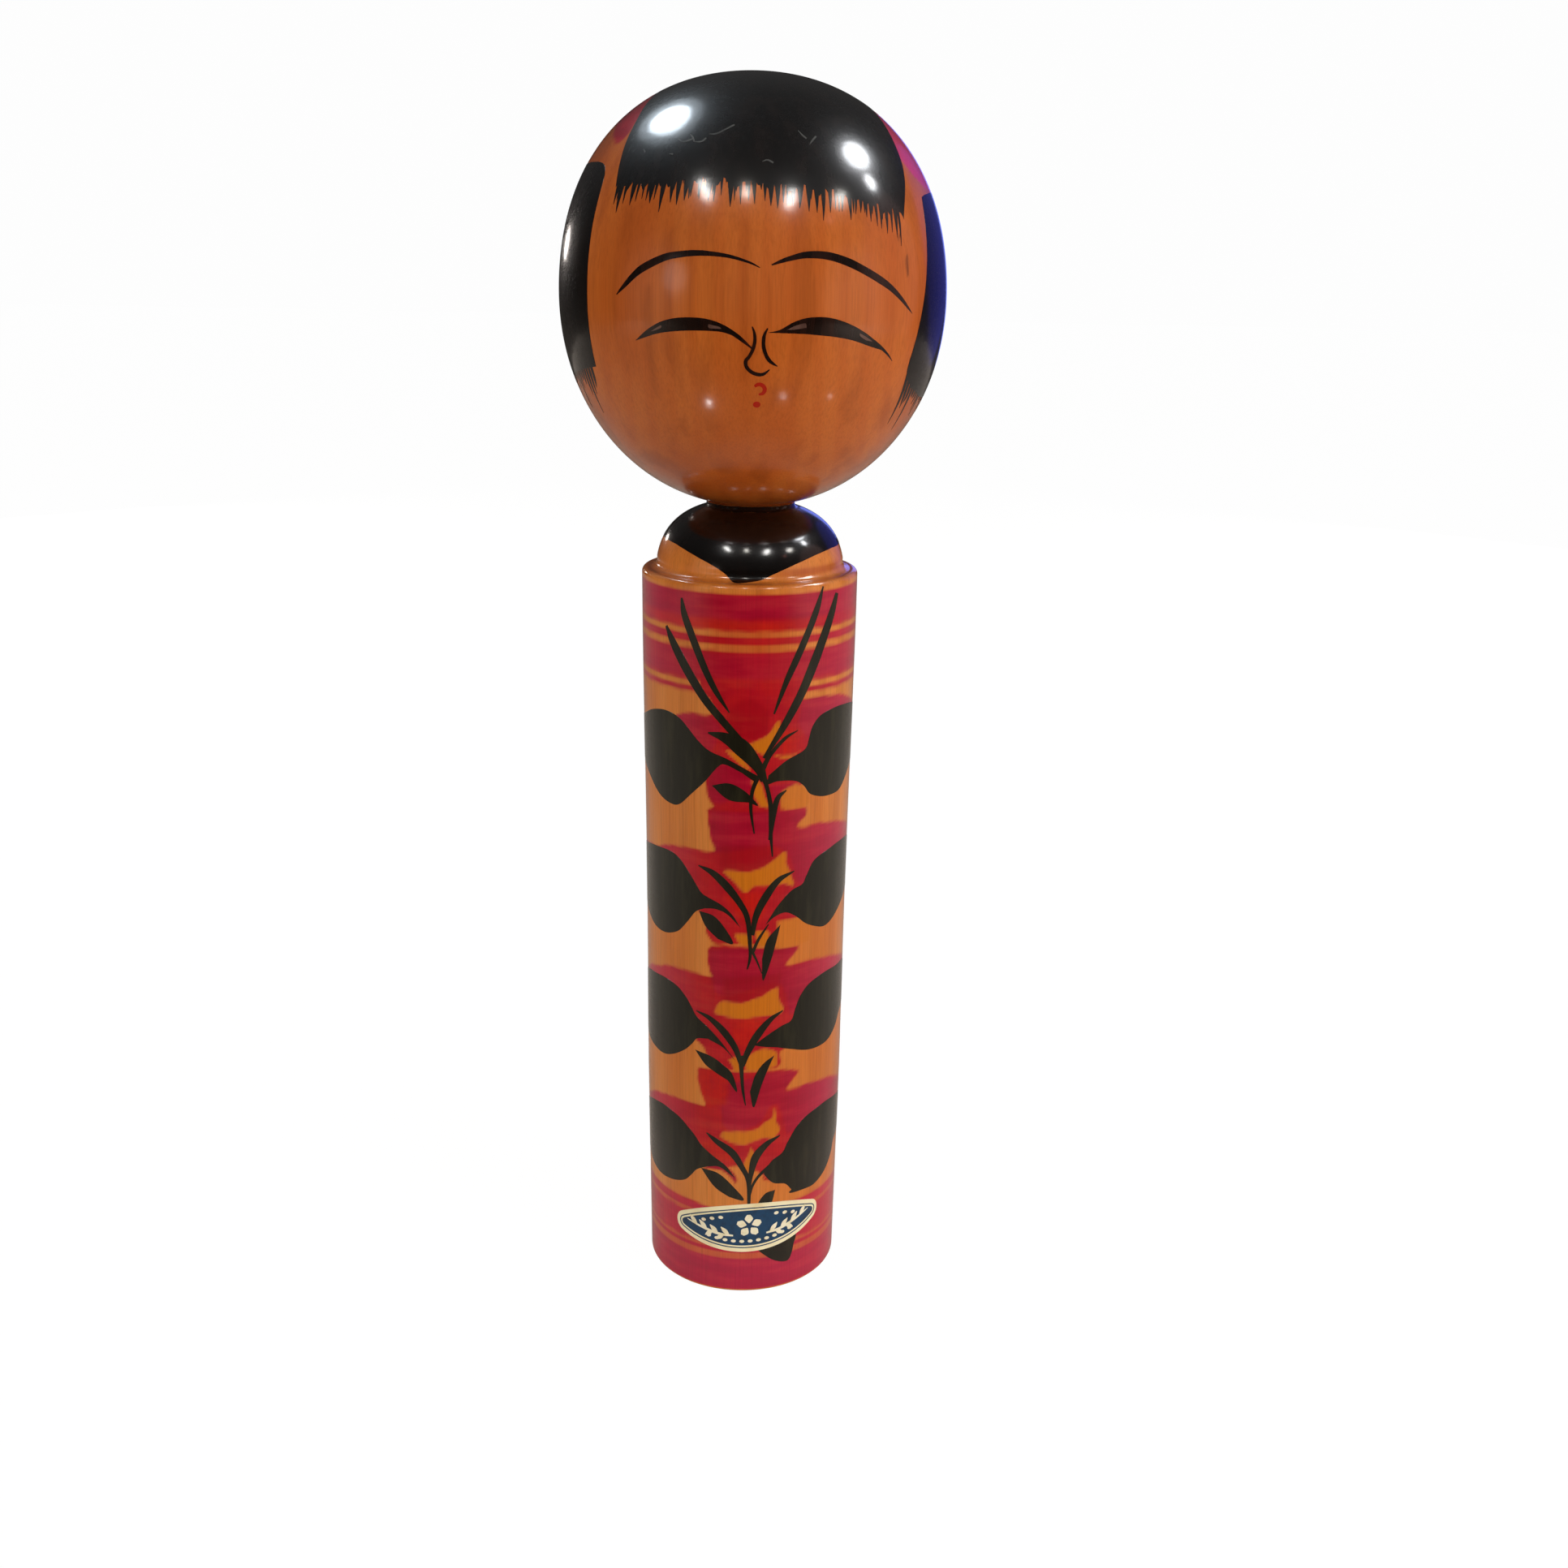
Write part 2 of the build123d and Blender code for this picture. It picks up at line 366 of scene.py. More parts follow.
def skin(name, surface, place, polygons, lattice=LATTICE, lift=INK_HEIGHT, root=INK_ROOT):
    """A thin closed skin over the union of polygons, laid on a turned surface.

    place turns the polygons' flat coordinates into (angle, distance along the outline).
    lift is how far its top stands off the surface in mm, and root how far its underside is sunk
    into it: below 0, the underside stands off as well.
    """
    low = np.min([p.min(0) for p in polygons], 0)
    high = np.max([p.max(0) for p in polygons], 0)
    across = np.arange(low[0], high[0], lattice)
    upwards = np.arange(low[1], high[1], lattice)
    grid = np.stack(np.meshgrid(across, upwards), -1).reshape(-1, 2)
    grid[:, 0] += 0.5 * lattice * (np.round((grid[:, 1] - low[1]) / lattice) % 2)
    keep = np.zeros(len(grid), bool)
    clear = np.ones(len(grid), bool)
    for polygon in polygons:
        near = near_box(grid, polygon, 1)
        keep[near] |= inside(grid[near], polygon)
        clear[near] &= distance(grid[near], polygon) > 0.35 * lattice
    grid = grid[keep & clear]

    points, edges = [], []
    for polygon in polygons:
        first = len(points)
        points += [tuple(p) for p in polygon]
        edges += [(first + i, first + (i + 1) % len(polygon)) for i in range(len(polygon))]
    points += [tuple(p) for p in grid]
    flat, _, triangles, *_ = delaunay_2d_cdt([Vector(p) for p in points], edges, [], 0, 1e-5)
    flat = np.array([tuple(p) for p in flat])
    triangles = np.array([t for t in triangles if len(t) == 3])
    centres = flat[triangles].mean(1)
    held = np.zeros(len(triangles), bool)
    for polygon in polygons:
        near = near_box(centres, polygon, 0)
        held[near] |= inside(centres[near], polygon)
    triangles = triangles[held]
    used, flat_index = np.unique(triangles, return_inverse=True)
    flat, triangles = flat[used], flat_index.reshape(-1, 3)
    sides = flat[triangles]
    turn = np.cross(sides[:, 1] - sides[:, 0], sides[:, 2] - sides[:, 0])
    triangles[turn < 0] = triangles[turn < 0][:, ::-1]

    angle, along = place(flat)
    upper, lower = surface.at(angle, along, lift), surface.at(angle, along, -root)
    count = len(flat)
    directed = {(t[i], t[(i + 1) % 3]) for t in triangles.tolist() for i in range(3)}
    rim = [(a, b) for a, b in directed if (b, a) not in directed]
    faces = triangles.tolist()
    faces += (triangles[:, ::-1] + count).tolist()
    faces += [(b, a, a + count, b + count) for a, b in sorted(rim)]
    piece = link(name, np.vstack([upper, lower]), faces)
    lay_normals(piece, surface.normal(angle, along), len(triangles))
    return piece


def lay_normals(piece, normals, top_faces):
    """Gives a skin's upper face the wood's own normals, so that gloss runs on without a seam."""
    mesh = piece.data
    loops = np.zeros((len(mesh.loops), 3))
    vertex_of = np.zeros(len(mesh.loops), int)
    mesh.loops.foreach_get("vertex_index", vertex_of)
    starts = np.zeros(len(mesh.polygons), int)
    mesh.polygons.foreach_get("loop_start", starts)
    top_loops = starts[top_faces]
    loops[:top_loops] = normals[vertex_of[:top_loops]]
    mesh.normals_split_custom_set(loops.tolist())


# --- Dyes and a painted sheen on the body -------------------------------------------------


def wander(a, b, size, seed):
    """A small smooth wander of an edge, from a few waves along two directions."""
    rng = np.random.default_rng(seed)
    total = np.zeros(len(a))
    for wave in (0.35, 0.8, 1.7):
        for along in (a, b):
            total += rng.uniform(0.3, 0.6) * np.sin(wave * along + rng.uniform(0, 6.28))
    return size * total


def soft(deep, edge=0.35):
    """1 well inside a shape, 0 well outside it, with a soft step between."""
    t = np.clip(deep / (2 * edge) + 0.5, 0, 1)
    return t * t * (3 - 2 * t)


def ring_depth(height, rings):
    """How deep each height lies in a set of (low, high) rings."""
    return np.max([np.minimum(height - low, high - height) for low, high in rings], 0)


def red_petals():
    """The red flower masses of the front, as the brush left them, from the top down."""
    bodice = shape(
        [(-12, 168), (13, 168)],
        [(13.3, 163), (18, 163), (25, 162.6), (30, 161.3), (38, 158), (44, 154)],
        [(36, 148), (17, 146)],
        [(14.5, 141.5), (9, 138), (9, 134)],
        [(-9, 134), (-9.4, 135.3), (-7.7, 136.3), (-9, 138), (-9.7, 140.8), (-11, 146), (-16, 154)],
        [(-18.5, 158.1), (-14, 159.4), (-10.8, 160)],
        [(-9.5, 161.5), (-11, 164.5)],
    )
    upper = shape(
        [(-9.5, 135.3), (-4, 136), (3, 135.7), (9, 135.5), (15.5, 135.3)],
        [(15.8, 133.2), (13.4, 130.4)],
        [(20, 130.4), (27, 129.3), (33, 127.4), (39, 124.8), (45, 121)],
        [(38, 112), (22, 110)],
        [(14.6, 106.2), (13.2, 104), (11.5, 102.3), (9.7, 101.9)],
        [(5.5, 100.4), (-1.5, 100.4), (-7.2, 100.3)],
        [(-9.5, 103), (-11.3, 108)],
        [(-20, 112), (-40, 118), (-36, 120.5), (-27, 121.9)],
        [(-25, 122.7), (-20, 123.8), (-14, 124.5), (-7.5, 124.7)],
        [(-8.4, 127.5), (-9, 130)],
    )
    middle = shape(
        [(-9.3, 98.3), (-7, 99.7)],
        [(0, 99.8), (6, 99.3), (14.3, 98.5)],
        [(13, 96.8), (11.8, 95.8), (11.2, 94)],
        [(16, 94.1), (21, 93.7), (27, 92.6), (33, 90.6), (39, 88), (44, 84)],
        [(36, 78), (16, 74)],
        [(10, 70.5), (8.5, 66)],
        [(-8, 66), (-11, 72)],
        [(-20, 76), (-38, 81), (-33, 86.8), (-28, 88.9), (-22, 90.7), (-15, 91.4), (-8.2, 91.2)],
        [(-8.6, 92.5), (-9.3, 95.5)],
    )
    lower = shape(
        [(-11.8, 62.5), (-11, 65.3)],
        [(-3, 65.5), (5, 65.3), (10, 65.2), (14.8, 64)],
        [(15.2, 63.3), (13.8, 61.5), (11.6, 59.2)],
        [(18, 59.2), (24, 58.5), (29, 57.2), (36, 54), (42, 49)],
        [(34, 42), (14, 38)],
        [(8.5, 32), (5, 36), (0, 38), (-8, 37.5)],
        [(-14, 41), (-36, 46), (-30, 51.5), (-27, 52.8), (-21, 54), (-15, 54.6), (-9.8, 54.9)],
        [(-10.4, 56.5), (-11.4, 59.5)],
    )
    under_leaf = stroke([(-10, 36.3), (-7.4, 37.4), (-4.2, 36.9), (-1.8, 34.4), (-1.4, 32.4)],
                        [0.5, 1.5, 1.7, 1.4, 0.4])
    by_leaf = stroke([(5.8, 34.8), (7.4, 33), (9.2, 31.9)], [0.4, 1.3, 0.5])
    return [bodice, upper, middle, lower, under_leaf, by_leaf]


def bare_notches():
    """Where the red brush left the wood bare in the middle of the flowers."""
    left_of_neck = shape([(-14, 163.7), (-9.8, 163.8)], [(-7.8, 161.5), (-8.8, 159.6), (-14, 159.8)])
    right_of_neck = shape([(9, 140.4), (13, 141.8)], [(17, 139), (15.8, 135.5)], [(9, 135.8), (8.6, 138)])
    between = shape([(8.5, 106.5), (18, 106)], [(18, 99.3), (8.5, 99.3)])
    lowest = shape([(-15, 34.4), (-9, 36.2), (-2.5, 34)], [(1, 30), (6, 33.8)],
                   [(13, 31), (13, 26), (-14, 26)])
    return [left_of_neck, right_of_neck, between, lowest]


def yellow_patches():
    """The yellow heart of each flower, and the yellow flecks by the stems."""
    return [
        shape([(0.4, 152.5), (3, 153.2), (6, 155.5), (8.2, 158.6)], [(8.3, 156), (5, 150.2), (2.4, 150.8)]),
        shape([(6.6, 149.8), (9.5, 149.3), (12, 149.4)], [(13.5, 150), (10, 148.5)]),
        shape([(-4.8, 150.7), (-3.4, 149), (1, 145.8)], [(0.2, 147.8), (-2, 150.2)]),
        shape([(1.6, 143.5), (3.6, 143), (5, 139), (5.8, 136.6)], [(3.6, 136.8), (2.4, 139.5)]),
        shape(
            [(-5.5, 119.7), (-3, 120), (0, 119.7), (3, 120.2), (6, 121.9), (10.3, 124.7)],
            [(10.5, 122), (11.3, 119.5), (12.6, 115.4)],
            [(10, 116), (3, 115.8), (0.5, 114.3), (-1, 115.2), (-2.5, 117)],
        ),
        shape([(-2.4, 103.4), (2, 103.2)], [(2.2, 100.3), (-0.5, 100.3)]),
        shape([(3, 104.2), (6.4, 104)], [(6.6, 100.3), (4, 100.3)]),
        shape(
            [(-7.5, 81.5), (-6.4, 83.6), (-5, 84.7)],
            [(0, 84.5), (5, 86.5), (8.7, 88.7)],
            [(9.2, 86), (10.3, 81.5)],
            [(5, 80.9), (0, 80.2), (-5, 80.7)],
        ),
        shape([(-3.4, 68.4), (-1.4, 69.6)], [(0, 66), (-1.6, 65.4)]),
        shape([(1, 69.5), (5, 71.8), (9, 70.5)], [(9, 66.6), (4.5, 65.7), (1.2, 66)]),
        shape(
            [(-4.8, 48), (-2, 48.3), (3, 48.6), (6, 50.6), (8, 52), (8.7, 54.9)],
            [(9.2, 50.5), (10.3, 47.6)],
            [(8.5, 45.5), (5.5, 46), (0.5, 44.3), (-5, 45.8)],
        ),
        shape([(2.7, 43.4), (1.2, 40), (0.6, 36)], [(3.5, 37), (3.5, 41)]),
    ]


def crimson_washes():
    """Where a second, bluer red lies over the first."""
    return [
        shape([(-9, 135.3), (16, 135.3)], [(13.5, 130.4), (27, 129.3), (45, 121)],
              [(14, 115), (8, 126), (-8.6, 124.6)]),
        shape([(-9.3, 98.3), (0, 99.8), (14.3, 98.5)], [(11.2, 94), (27, 92.6), (44, 84)],
              [(12, 80), (8.6, 89.5), (-5, 86), (-8.4, 91)]),
        shape([(-5.5, 61), (0, 63), (8, 65.2), (15, 64)], [(11.6, 59.2), (24, 58.5), (42, 49)],
              [(12, 46), (8.8, 55.5), (4, 49.6), (-4, 48.6), (-5.5, 54)]),
        shape([(14, 163), (25, 162.6), (44, 154)], [(36, 148), (18, 152), (13, 157)]),
        shape([(-20, 158), (-11, 159.8), (-6, 157)], [(-8, 150), (-14, 151)]),
        shape([(-8.5, 147.4), (-3, 147.2), (2, 144)], [(1, 140), (-6, 137), (-9.4, 139)]),
        shape([(5.8, 142.6), (13, 142)], [(10.6, 138.5), (7.5, 137)]),
        shape([(-12, 37), (-7, 38.4), (-1, 36)], [(-1, 32), (-5, 35.6)]),
    ]


def orange_washes():
    """Where the red lies thin and stays orange."""
    return [
        shape([(-40, 180.4), (0, 180.4), (40, 180.4)], [(40, 182), (0, 182.2), (-40, 182)]),
        shape([(-11.8, 65), (-6, 65.6), (-3.6, 61)], [(-4.4, 56), (-11, 55)]),
        shape([(-5, 113), (1, 114.5), (6, 113)], [(3, 105), (0, 106)]),
        shape([(-4, 79.5), (1, 80), (6, 79)], [(1, 71), (-1, 72)]),
        shape([(8, 156), (14, 155), (15, 150)], [(9, 149.6)]),
        shape([(-13, 42), (-4, 47), (-1, 44)], [(-2, 39), (-8, 40)]),
    ]


def deep_washes():
    """Where the red lies twice over and is darkest."""
    return [
        shape([(-5.2, 156), (-4.2, 161), (0.4, 163.6), (4.6, 161.4), (5.6, 157)], [(3, 153.4), (-2, 152.6)]),
        shape([(-6, 126.5), (6, 126.5)], [(8, 122.5), (0, 119.5), (-6, 120.5)]),
        shape([(-5, 91), (9, 92)], [(8.4, 89), (2, 85.4), (-5, 84.8)]),
    ]


# Heights of the painted rings, and of the bands that take a tint, as (low, high)
TOP_RINGS = [(179.9, 188.7), (176.5, 178.6), (167.3, 175.1), (164.6, 165.9)]
BASE_RINGS = [(-1, 10.2), (11.9, 13.3), (13.9, 22.4), (23.0, 25.6)]
TOP_BAND, BASE_BAND = (164.6, 188.7), (-1, 25.6)
UNDER_RIM, ON_CHEST, AT_FOOT = (182.6, 188.7), (168, 174.9), (-1, 10.2)
BLUSH = (28.4, 30.2)        # mm of arc from the dome's crown
OFF_SIDE = -20              # a height below every ring
FAR_OFF = 500               # a place far from every outline


def body_dyes(piece, angle, along):
    """Writes how much of each dye lies at each point of the body, and the painted pink sheen of its sides.
    """
    on_side = (along >= FOOT) & (along <= SHOULDER)
    height = np.interp(along, body_surface.along, body_surface.height)
    height = np.where(on_side, height, OFF_SIDE)
    round_ = angle * side_radius(height)
    wavy = height + wander(round_ * 0.6, height * 0.2, 0.10, 3)
    flat = np.stack([round_ + wander(height, round_, 0.14, 4), height + wander(round_, height, 0.14, 5)], 1)
    flat[~on_side] = FAR_OFF
    bare = soft(depth(flat, bare_notches()))
    yellow = soft(depth(flat, yellow_patches()), 0.3)
    yellowed_notches = 0.45 * soft(depth(flat, bare_notches()[1:3]), 0.5)
    write_dyes(
        piece,
        red=body_red(flat, wavy, round_) * (1 - bare) * (1 - yellow),
        crimson=body_crimson(flat, height, wavy),
        deep=soft(depth(flat, deep_washes()), 1.0),
        yellow=np.maximum(yellow, yellowed_notches),
        magenta=body_pink_and_side_sheen(angle, height),
        blush=dome_blush(angle, along),
    )


def body_red(flat, wavy, round_):
    """The red of the petals and rings, and the thin red between the rings."""
    petals = soft(depth(flat, red_petals()))
    rings = soft(ring_depth(wavy, TOP_RINGS + BASE_RINGS), 0.3)
    thin = 0.55 * soft(ring_depth(wavy, [BASE_BAND]), 0.8)
    thin += 0.4 * soft(ring_depth(wavy, [TOP_BAND]), 0.4) * soft(9 - np.abs(round_), 4)
    return np.maximum.reduce([petals, rings, thin])


def body_crimson(flat, height, wavy):
    """How blue the red is: a little everywhere, and more in the washes and three bands."""
    washes = soft(depth(flat, crimson_washes()), 0.9)
    under_rim = soft(ring_depth(wavy, [UNDER_RIM]), 0.9)
    chest = 0.85 * soft(ring_depth(height, [ON_CHEST]), 1.2)
    foot = soft(ring_depth(height, [AT_FOOT]), 0.5)
    crimson = np.maximum.reduce([washes, under_rim, chest, foot, np.full(len(height), 0.4)])
    return crimson * (1 - soft(depth(flat, orange_washes()), 1.0))


def body_pink_and_side_sheen(angle, height):
    """How pink the red is: faintly so in the base's rings, and round the sides, where the pink is a painted
    sheen.
    """
    # painted sheen: away from the front the red is tinted pink, standing in for the pale reflections down
    # the body's sides
    sides = 0.24 * np.clip((np.abs(angle) - 0.4) / 0.6, 0, 1)
    return np.maximum(sides, 0.22 * soft(ring_depth(height, [BASE_BAND]), 0.8))


def dome_blush(angle, along):
    """A thin red line at the foot of the dome, right of the front."""
    on_ring = soft(ring_depth(DOME_FOOT + DOME_REACH - along, [BLUSH]), 0.6)
    round_ = angle * DOME_R
    return np.where(along > SHOULDER, on_ring, 0) * soft(round_ - 8, 4) * soft(30 - round_, 6)


def write_dyes(piece, **dyes):
    """Stores how much of each dye and painted sheen lies at each point of a piece's mesh."""
    for name, values in dyes.items():
        attribute = piece.data.attributes.new(name, "FLOAT", "POINT")
        attribute.data.foreach_set("value", np.asarray(values, np.float32))


# --- Ink on the body ----------------------------------------------------------------------


def top_blades():
    """The four long blades that rise from the first flower."""
    return [
        stroke([(-21.8, 179.3), (-19.8, 176.2), (-17, 172.2), (-13.8, 167.8), (-10, 162.8), (-5.8, 158.2),
                (-1, 153)], [0.8, 2.1, 2.5, 2.4, 2.1, 1.9, 1.6]),
        stroke([(-16.7, 186.8), (-15.9, 183), (-13.9, 178.5), (-11.6, 173.4), (-9.4, 168.8), (-7, 164.6),
                (-4, 160.2)], [0.6, 1.8, 2.0, 1.9, 1.7, 1.3, 0.3]),
        stroke([(19.4, 189.8), (17.7, 184.8), (15.1, 179), (12.2, 173), (9.6, 167.5), (6.7, 159.9)],
               [0.4, 1.7, 1.8, 1.8, 1.4, 0.4]),
        stroke([(24.4, 187.6), (22.6, 183), (20, 177.5), (17.1, 171.4), (14, 165), (10, 158), (4.4, 149)],
               [1.2, 2.3, 2.6, 2.7, 2.3, 1.9, 0.7]),
    ]


def first_leaves():
    """The leaves and stems of the topmost flower."""
    left = shape(
        [(3.3, 144.4), (-4, 148.4), (-9, 150.3), (-12, 152.5), (-17, 157), (-22, 158.3), (-28, 157.3),
         (-34, 155), (-41, 152.5), (-45, 149), (-43, 144), (-34, 141), (-30, 139), (-25, 136),
         (-20.5, 134.8), (-17.5, 135.3), (-14, 138.5), (-10, 142.5), (-7, 146.2), (-5, 147.2)],
        [(-1, 145.4), (2.6, 143)],
    )
    right = shape(
        [(5.6, 144.6), (10, 148), (15, 150.3)],
        [(16.2, 153), (17.3, 156), (20, 158.3), (25, 159.2), (30, 159), (36, 158), (42, 156),
         (46, 151), (43, 144), (36, 141.5), (33, 140), (29, 137.5), (26, 136.9), (21, 137.2),
         (17, 138.6), (15, 141), (12.5, 142.6), (8, 143), (5.4, 142.4)],
    )
    return [
        left,
        right,
        stroke([(-9.3, 154.8), (-5, 153.9), (-1, 151.6), (3, 146.8), (4.4, 143.2)],
               [0.4, 2.6, 4.2, 2.6, 1.4]),
        stroke([(13, 155.4), (9.5, 153.6), (6, 149.8), (4, 146)], [0.2, 0.9, 1.0, 1.4]),
        stroke([(3.6, 146), (5, 142.5), (6.2, 137), (6.4, 130), (6.9, 123.6)], [2.4, 1.1, 1.1, 0.9, 0.3]),
        stroke([(10.2, 140.5), (8, 138.6), (6.9, 134), (6.2, 128)], [0.3, 1.3, 1.4, 0.8]),
        stroke([(2.9, 144), (1.7, 140.5), (1.4, 136), (2.3, 129.8)], [1.1, 0.9, 0.8, 0.3]),
        shape([(-8.3, 141.6), (-4, 142.5), (0, 140.6), (3.2, 137)], [(1, 137.8), (-4, 138.3)]),
    ]


def second_leaves():
    """The leaves and stems of the second flower."""
    left = shape(
        [(-0.8, 105), (-3, 108.5), (-6, 111), (-10.5, 113)],
        [(-12.3, 115), (-14.5, 118), (-17.5, 121), (-21, 122.2), (-27, 121.8), (-34, 120.5),
         (-41, 118), (-45, 112), (-42, 105), (-34, 102), (-30, 100.3), (-26, 99.5), (-22, 99.8),
         (-18, 101.5), (-15, 104.8), (-12.5, 108)],
        [(-10, 109.3), (-7, 109.5), (-4, 108.3)],
    )
    right = shape(
        [(5.3, 105.5), (8.5, 110.5), (12, 114), (15.2, 115.3)],
        [(16.2, 117), (19, 121), (25, 122.7), (30, 123.1), (36, 122.5), (42, 120), (45, 114),
         (41, 109), (35, 107), (30, 104.5), (26, 102.6), (23, 102), (20, 102.8), (16.5, 104.5),
         (13.5, 107), (10.5, 108.5), (7.5, 107.5)],
    )
    return [
        left,
        right,
        stroke([(-11.8, 120.4), (-8, 119), (-4.5, 116), (-1, 111.5), (1, 107), (1.8, 98)],
               [0.3, 1.6, 2.1, 1.6, 1.3, 0.8]),
        stroke([(12.8, 119.2), (8.5, 117.2), (5.2, 112.8), (3, 108), (2.2, 103)], [0.3, 1.5, 2.0, 1.6, 0.9]),
        stroke([(1.8, 99.5), (1.6, 96.5), (1, 93.8)], [0.9, 0.7, 0.3]),
        stroke([(1.8, 99.5), (3.4, 96), (4.7, 92.6)], [0.8, 0.5, 0.2]),
        stroke([(6.2, 105.8), (3.8, 102), (2.4, 98.6)], [0.3, 0.7, 0.8]),
        shape([(-11.6, 108.4), (-7.6, 107.6), (-4.6, 104.5), (-2.6, 100.6)], [(-6.5, 101.6), (-9.8, 104.6)]),
        shape([(9.3, 105.4), (8.4, 101.5), (7, 96), (5, 90.6)], [(4.7, 96.5), (5.9, 101.6)]),
    ]


def third_leaves():
    """The leaves and stems of the third flower."""
    left = shape(
        [(-1.8, 68.6), (-5.5, 73.5), (-9, 77), (-12.2, 79.4)],
        [(-13.8, 81.8), (-15.5, 84), (-18.5, 86.2), (-23, 87), (-28, 86.5), (-34, 85.3),
         (-41, 82), (-44, 75), (-40, 68), (-33, 65.8), (-29, 65.3), (-24, 65.2), (-20, 66.5),
         (-16, 69), (-13.5, 71.5), (-12, 73.3)],
        [(-9, 73.8), (-5, 72)],
    )
    right = shape(
        [(3, 72.8), (6, 75.2), (10, 77.5), (12.8, 78.6)],
        [(14, 81.8), (15.5, 85), (18.5, 87.7), (24, 89), (30, 88.7), (36, 88), (42, 85),
         (45, 80), (41, 76), (34, 74), (31, 71.4), (27, 69.2), (23, 68.6), (18, 69), (13, 70.5),
         (9, 71.7), (6, 72.2)],
    )
    return [
        left,
        right,
        stroke([(-12.3, 81), (-8.5, 79.6), (-4.8, 76.4), (-1.8, 72), (-0.3, 67.5)],
               [0.3, 1.3, 1.9, 1.6, 1.0]),
        stroke([(10.4, 81.8), (7, 79.6), (3.8, 75.6), (1.4, 71), (0.1, 67)], [0.3, 1.4, 2.0, 1.6, 1.0]),
        stroke([(-0.3, 70), (-0.1, 65), (0.3, 60), (1, 55.8)], [1.5, 1.0, 0.7, 0.25]),
        shape([(-12.6, 70), (-8, 69), (-4.8, 67), (-2.4, 64.5), (-1.2, 59.6)],
              [(-3.6, 62.8), (-7.4, 65), (-9.8, 66.6)]),
        shape([(8.3, 69.6), (6.7, 66), (4.9, 61), (3.1, 55.2)], [(2.1, 59.8), (3.4, 64.4), (5.5, 67.6)]),
    ]


def fourth_leaves():
    """The leaves and stems of the lowest flower, which runs under the label."""
    left = shape(
        [(-1.5, 34.5), (-4, 38), (-8, 40.8), (-10.8, 43)],
        [(-12.4, 45), (-14, 46.5), (-18, 49.2), (-24, 50.2), (-30, 49), (-34, 47.5), (-41, 44),
         (-44, 38), (-40, 32.5), (-34, 30.6), (-30, 29.3), (-25, 28.8), (-20, 29.5), (-16, 31),
         (-13.8, 33.2), (-12, 35.4)],
        [(-9, 37), (-5.5, 37.4)],
    )
    right = shape(
        [(6, 35.5), (8, 39), (11, 41)],
        [(12.4, 43.6), (15.2, 47.6), (19, 50), (25, 51), (30, 50.5), (36, 49), (42, 46), (45, 41),
         (40, 38), (33, 36.6), (31, 33.5), (27, 30), (22, 28), (18, 28), (13.4, 28.3)],
        [(14, 29.2), (12, 31.5), (9, 32.3), (7.4, 33.6)],
    )
    return [
        left,
        right,
        stroke([(-9.3, 46.9), (-6.5, 44.9), (-2.4, 42), (0.4, 37.5), (2, 33.5), (2.2, 26)],
               [0.3, 1.5, 2.0, 1.4, 1.2, 0.8]),
        stroke([(10.3, 46.3), (6.6, 44.2), (3.8, 40.6), (2.6, 35.6), (2.1, 31)], [0.3, 1.6, 2.1, 1.3, 0.8]),
        stroke([(7.6, 37.6), (5, 35.4), (3.2, 32.6), (2.3, 29.5)], [1.2, 0.8, 0.7, 0.7]),
        shape([(-10.8, 36.2), (-6, 35.5), (-2, 32), (0.9, 28)], [(-3, 28.8), (-7, 31.4)]),
        shape([(9.2, 30.3), (6.4, 29.5), (4.4, 26)], [(7, 25), (8.4, 27)]),
        shape([(4, 13.5), (5.4, 12), (9, 9), (12.5, 7.7), (14, 8.5), (15, 12), (15.4, 16)], [(9, 17)]),
    ]


def leaf_ink():
    """All the dark leaves, stems and blades of the body, in one skin."""
    leaves = top_blades() + first_leaves() + second_leaves() + third_leaves() + fourth_leaves()
    return skin("leaf_ink", body_surface, on_body, leaves)


def shoulder_ink():
    """The black collar on the dome, which comes down to a soft point at the front."""
    edge = [(-180, 23.4), (-70, 23.6), (-55, 24), (-45, 24.8), (-35, 25.9), (-25, 27.2), (-18, 28.4),
            (-13, 29.6), (-10, 30.9), (-8, 31.9), (-5, 32), (-2, 31.7), (7, 30.9), (14, 29.6),
            (21, 28.5), (29, 27.4), (38, 26.4), (46, 25.7), (55, 25.2), (65, 24.9), (85, 25), (180, 23.4)]
    round_degrees = np.linspace(-180, 180, 241)
    reach = np.interp(round_degrees, *np.array(edge, float).T)
    reach = np.convolve(np.pad(reach, 1, "edge"), [0.2, 0.6, 0.2], "valid")
    seat_reach = DOME_FOOT + DOME_REACH - SEAT
    seam = np.linspace(reach[-1], seat_reach, 20)[1:-1]     # the ring is cut open at the back
    outer = round_degrees, reach
    seam_up = np.full(len(seam), 180), seam
    inner = round_degrees[::-1], np.full(len(round_degrees), seat_reach)
    seam_down = np.full(len(seam), -180), seam[::-1]
    degrees, reach = np.concatenate([outer, seam_up, inner, seam_down], 1)
    turned = np.radians(degrees)
    outline = np.stack([reach * np.sin(turned), -reach * np.cos(turned)], 1)
    return skin("shoulder_ink", body_surface, over_dome, [outline], 0.8, INK_HEIGHT + 0.015)


# --- Paint on the head --------------------------------------------------------------------

DEGREE = HEAD_R * math.pi / 180     # mm round the widest circle for one degree


def degrees_round(points):
    """Head points given in degrees round, turned to mm round."""
    return [(x * DEGREE, y) for x, y in points]


def head_shape(*stretches):
    """A closed outline on the head, from stretches given in degrees round."""
    return shape(*[degrees_round(points) for points in stretches])


def head_stroke(points, widths):
    """A brush stroke on the head, from points given in degrees round."""
    return stroke(degrees_round(points), widths)


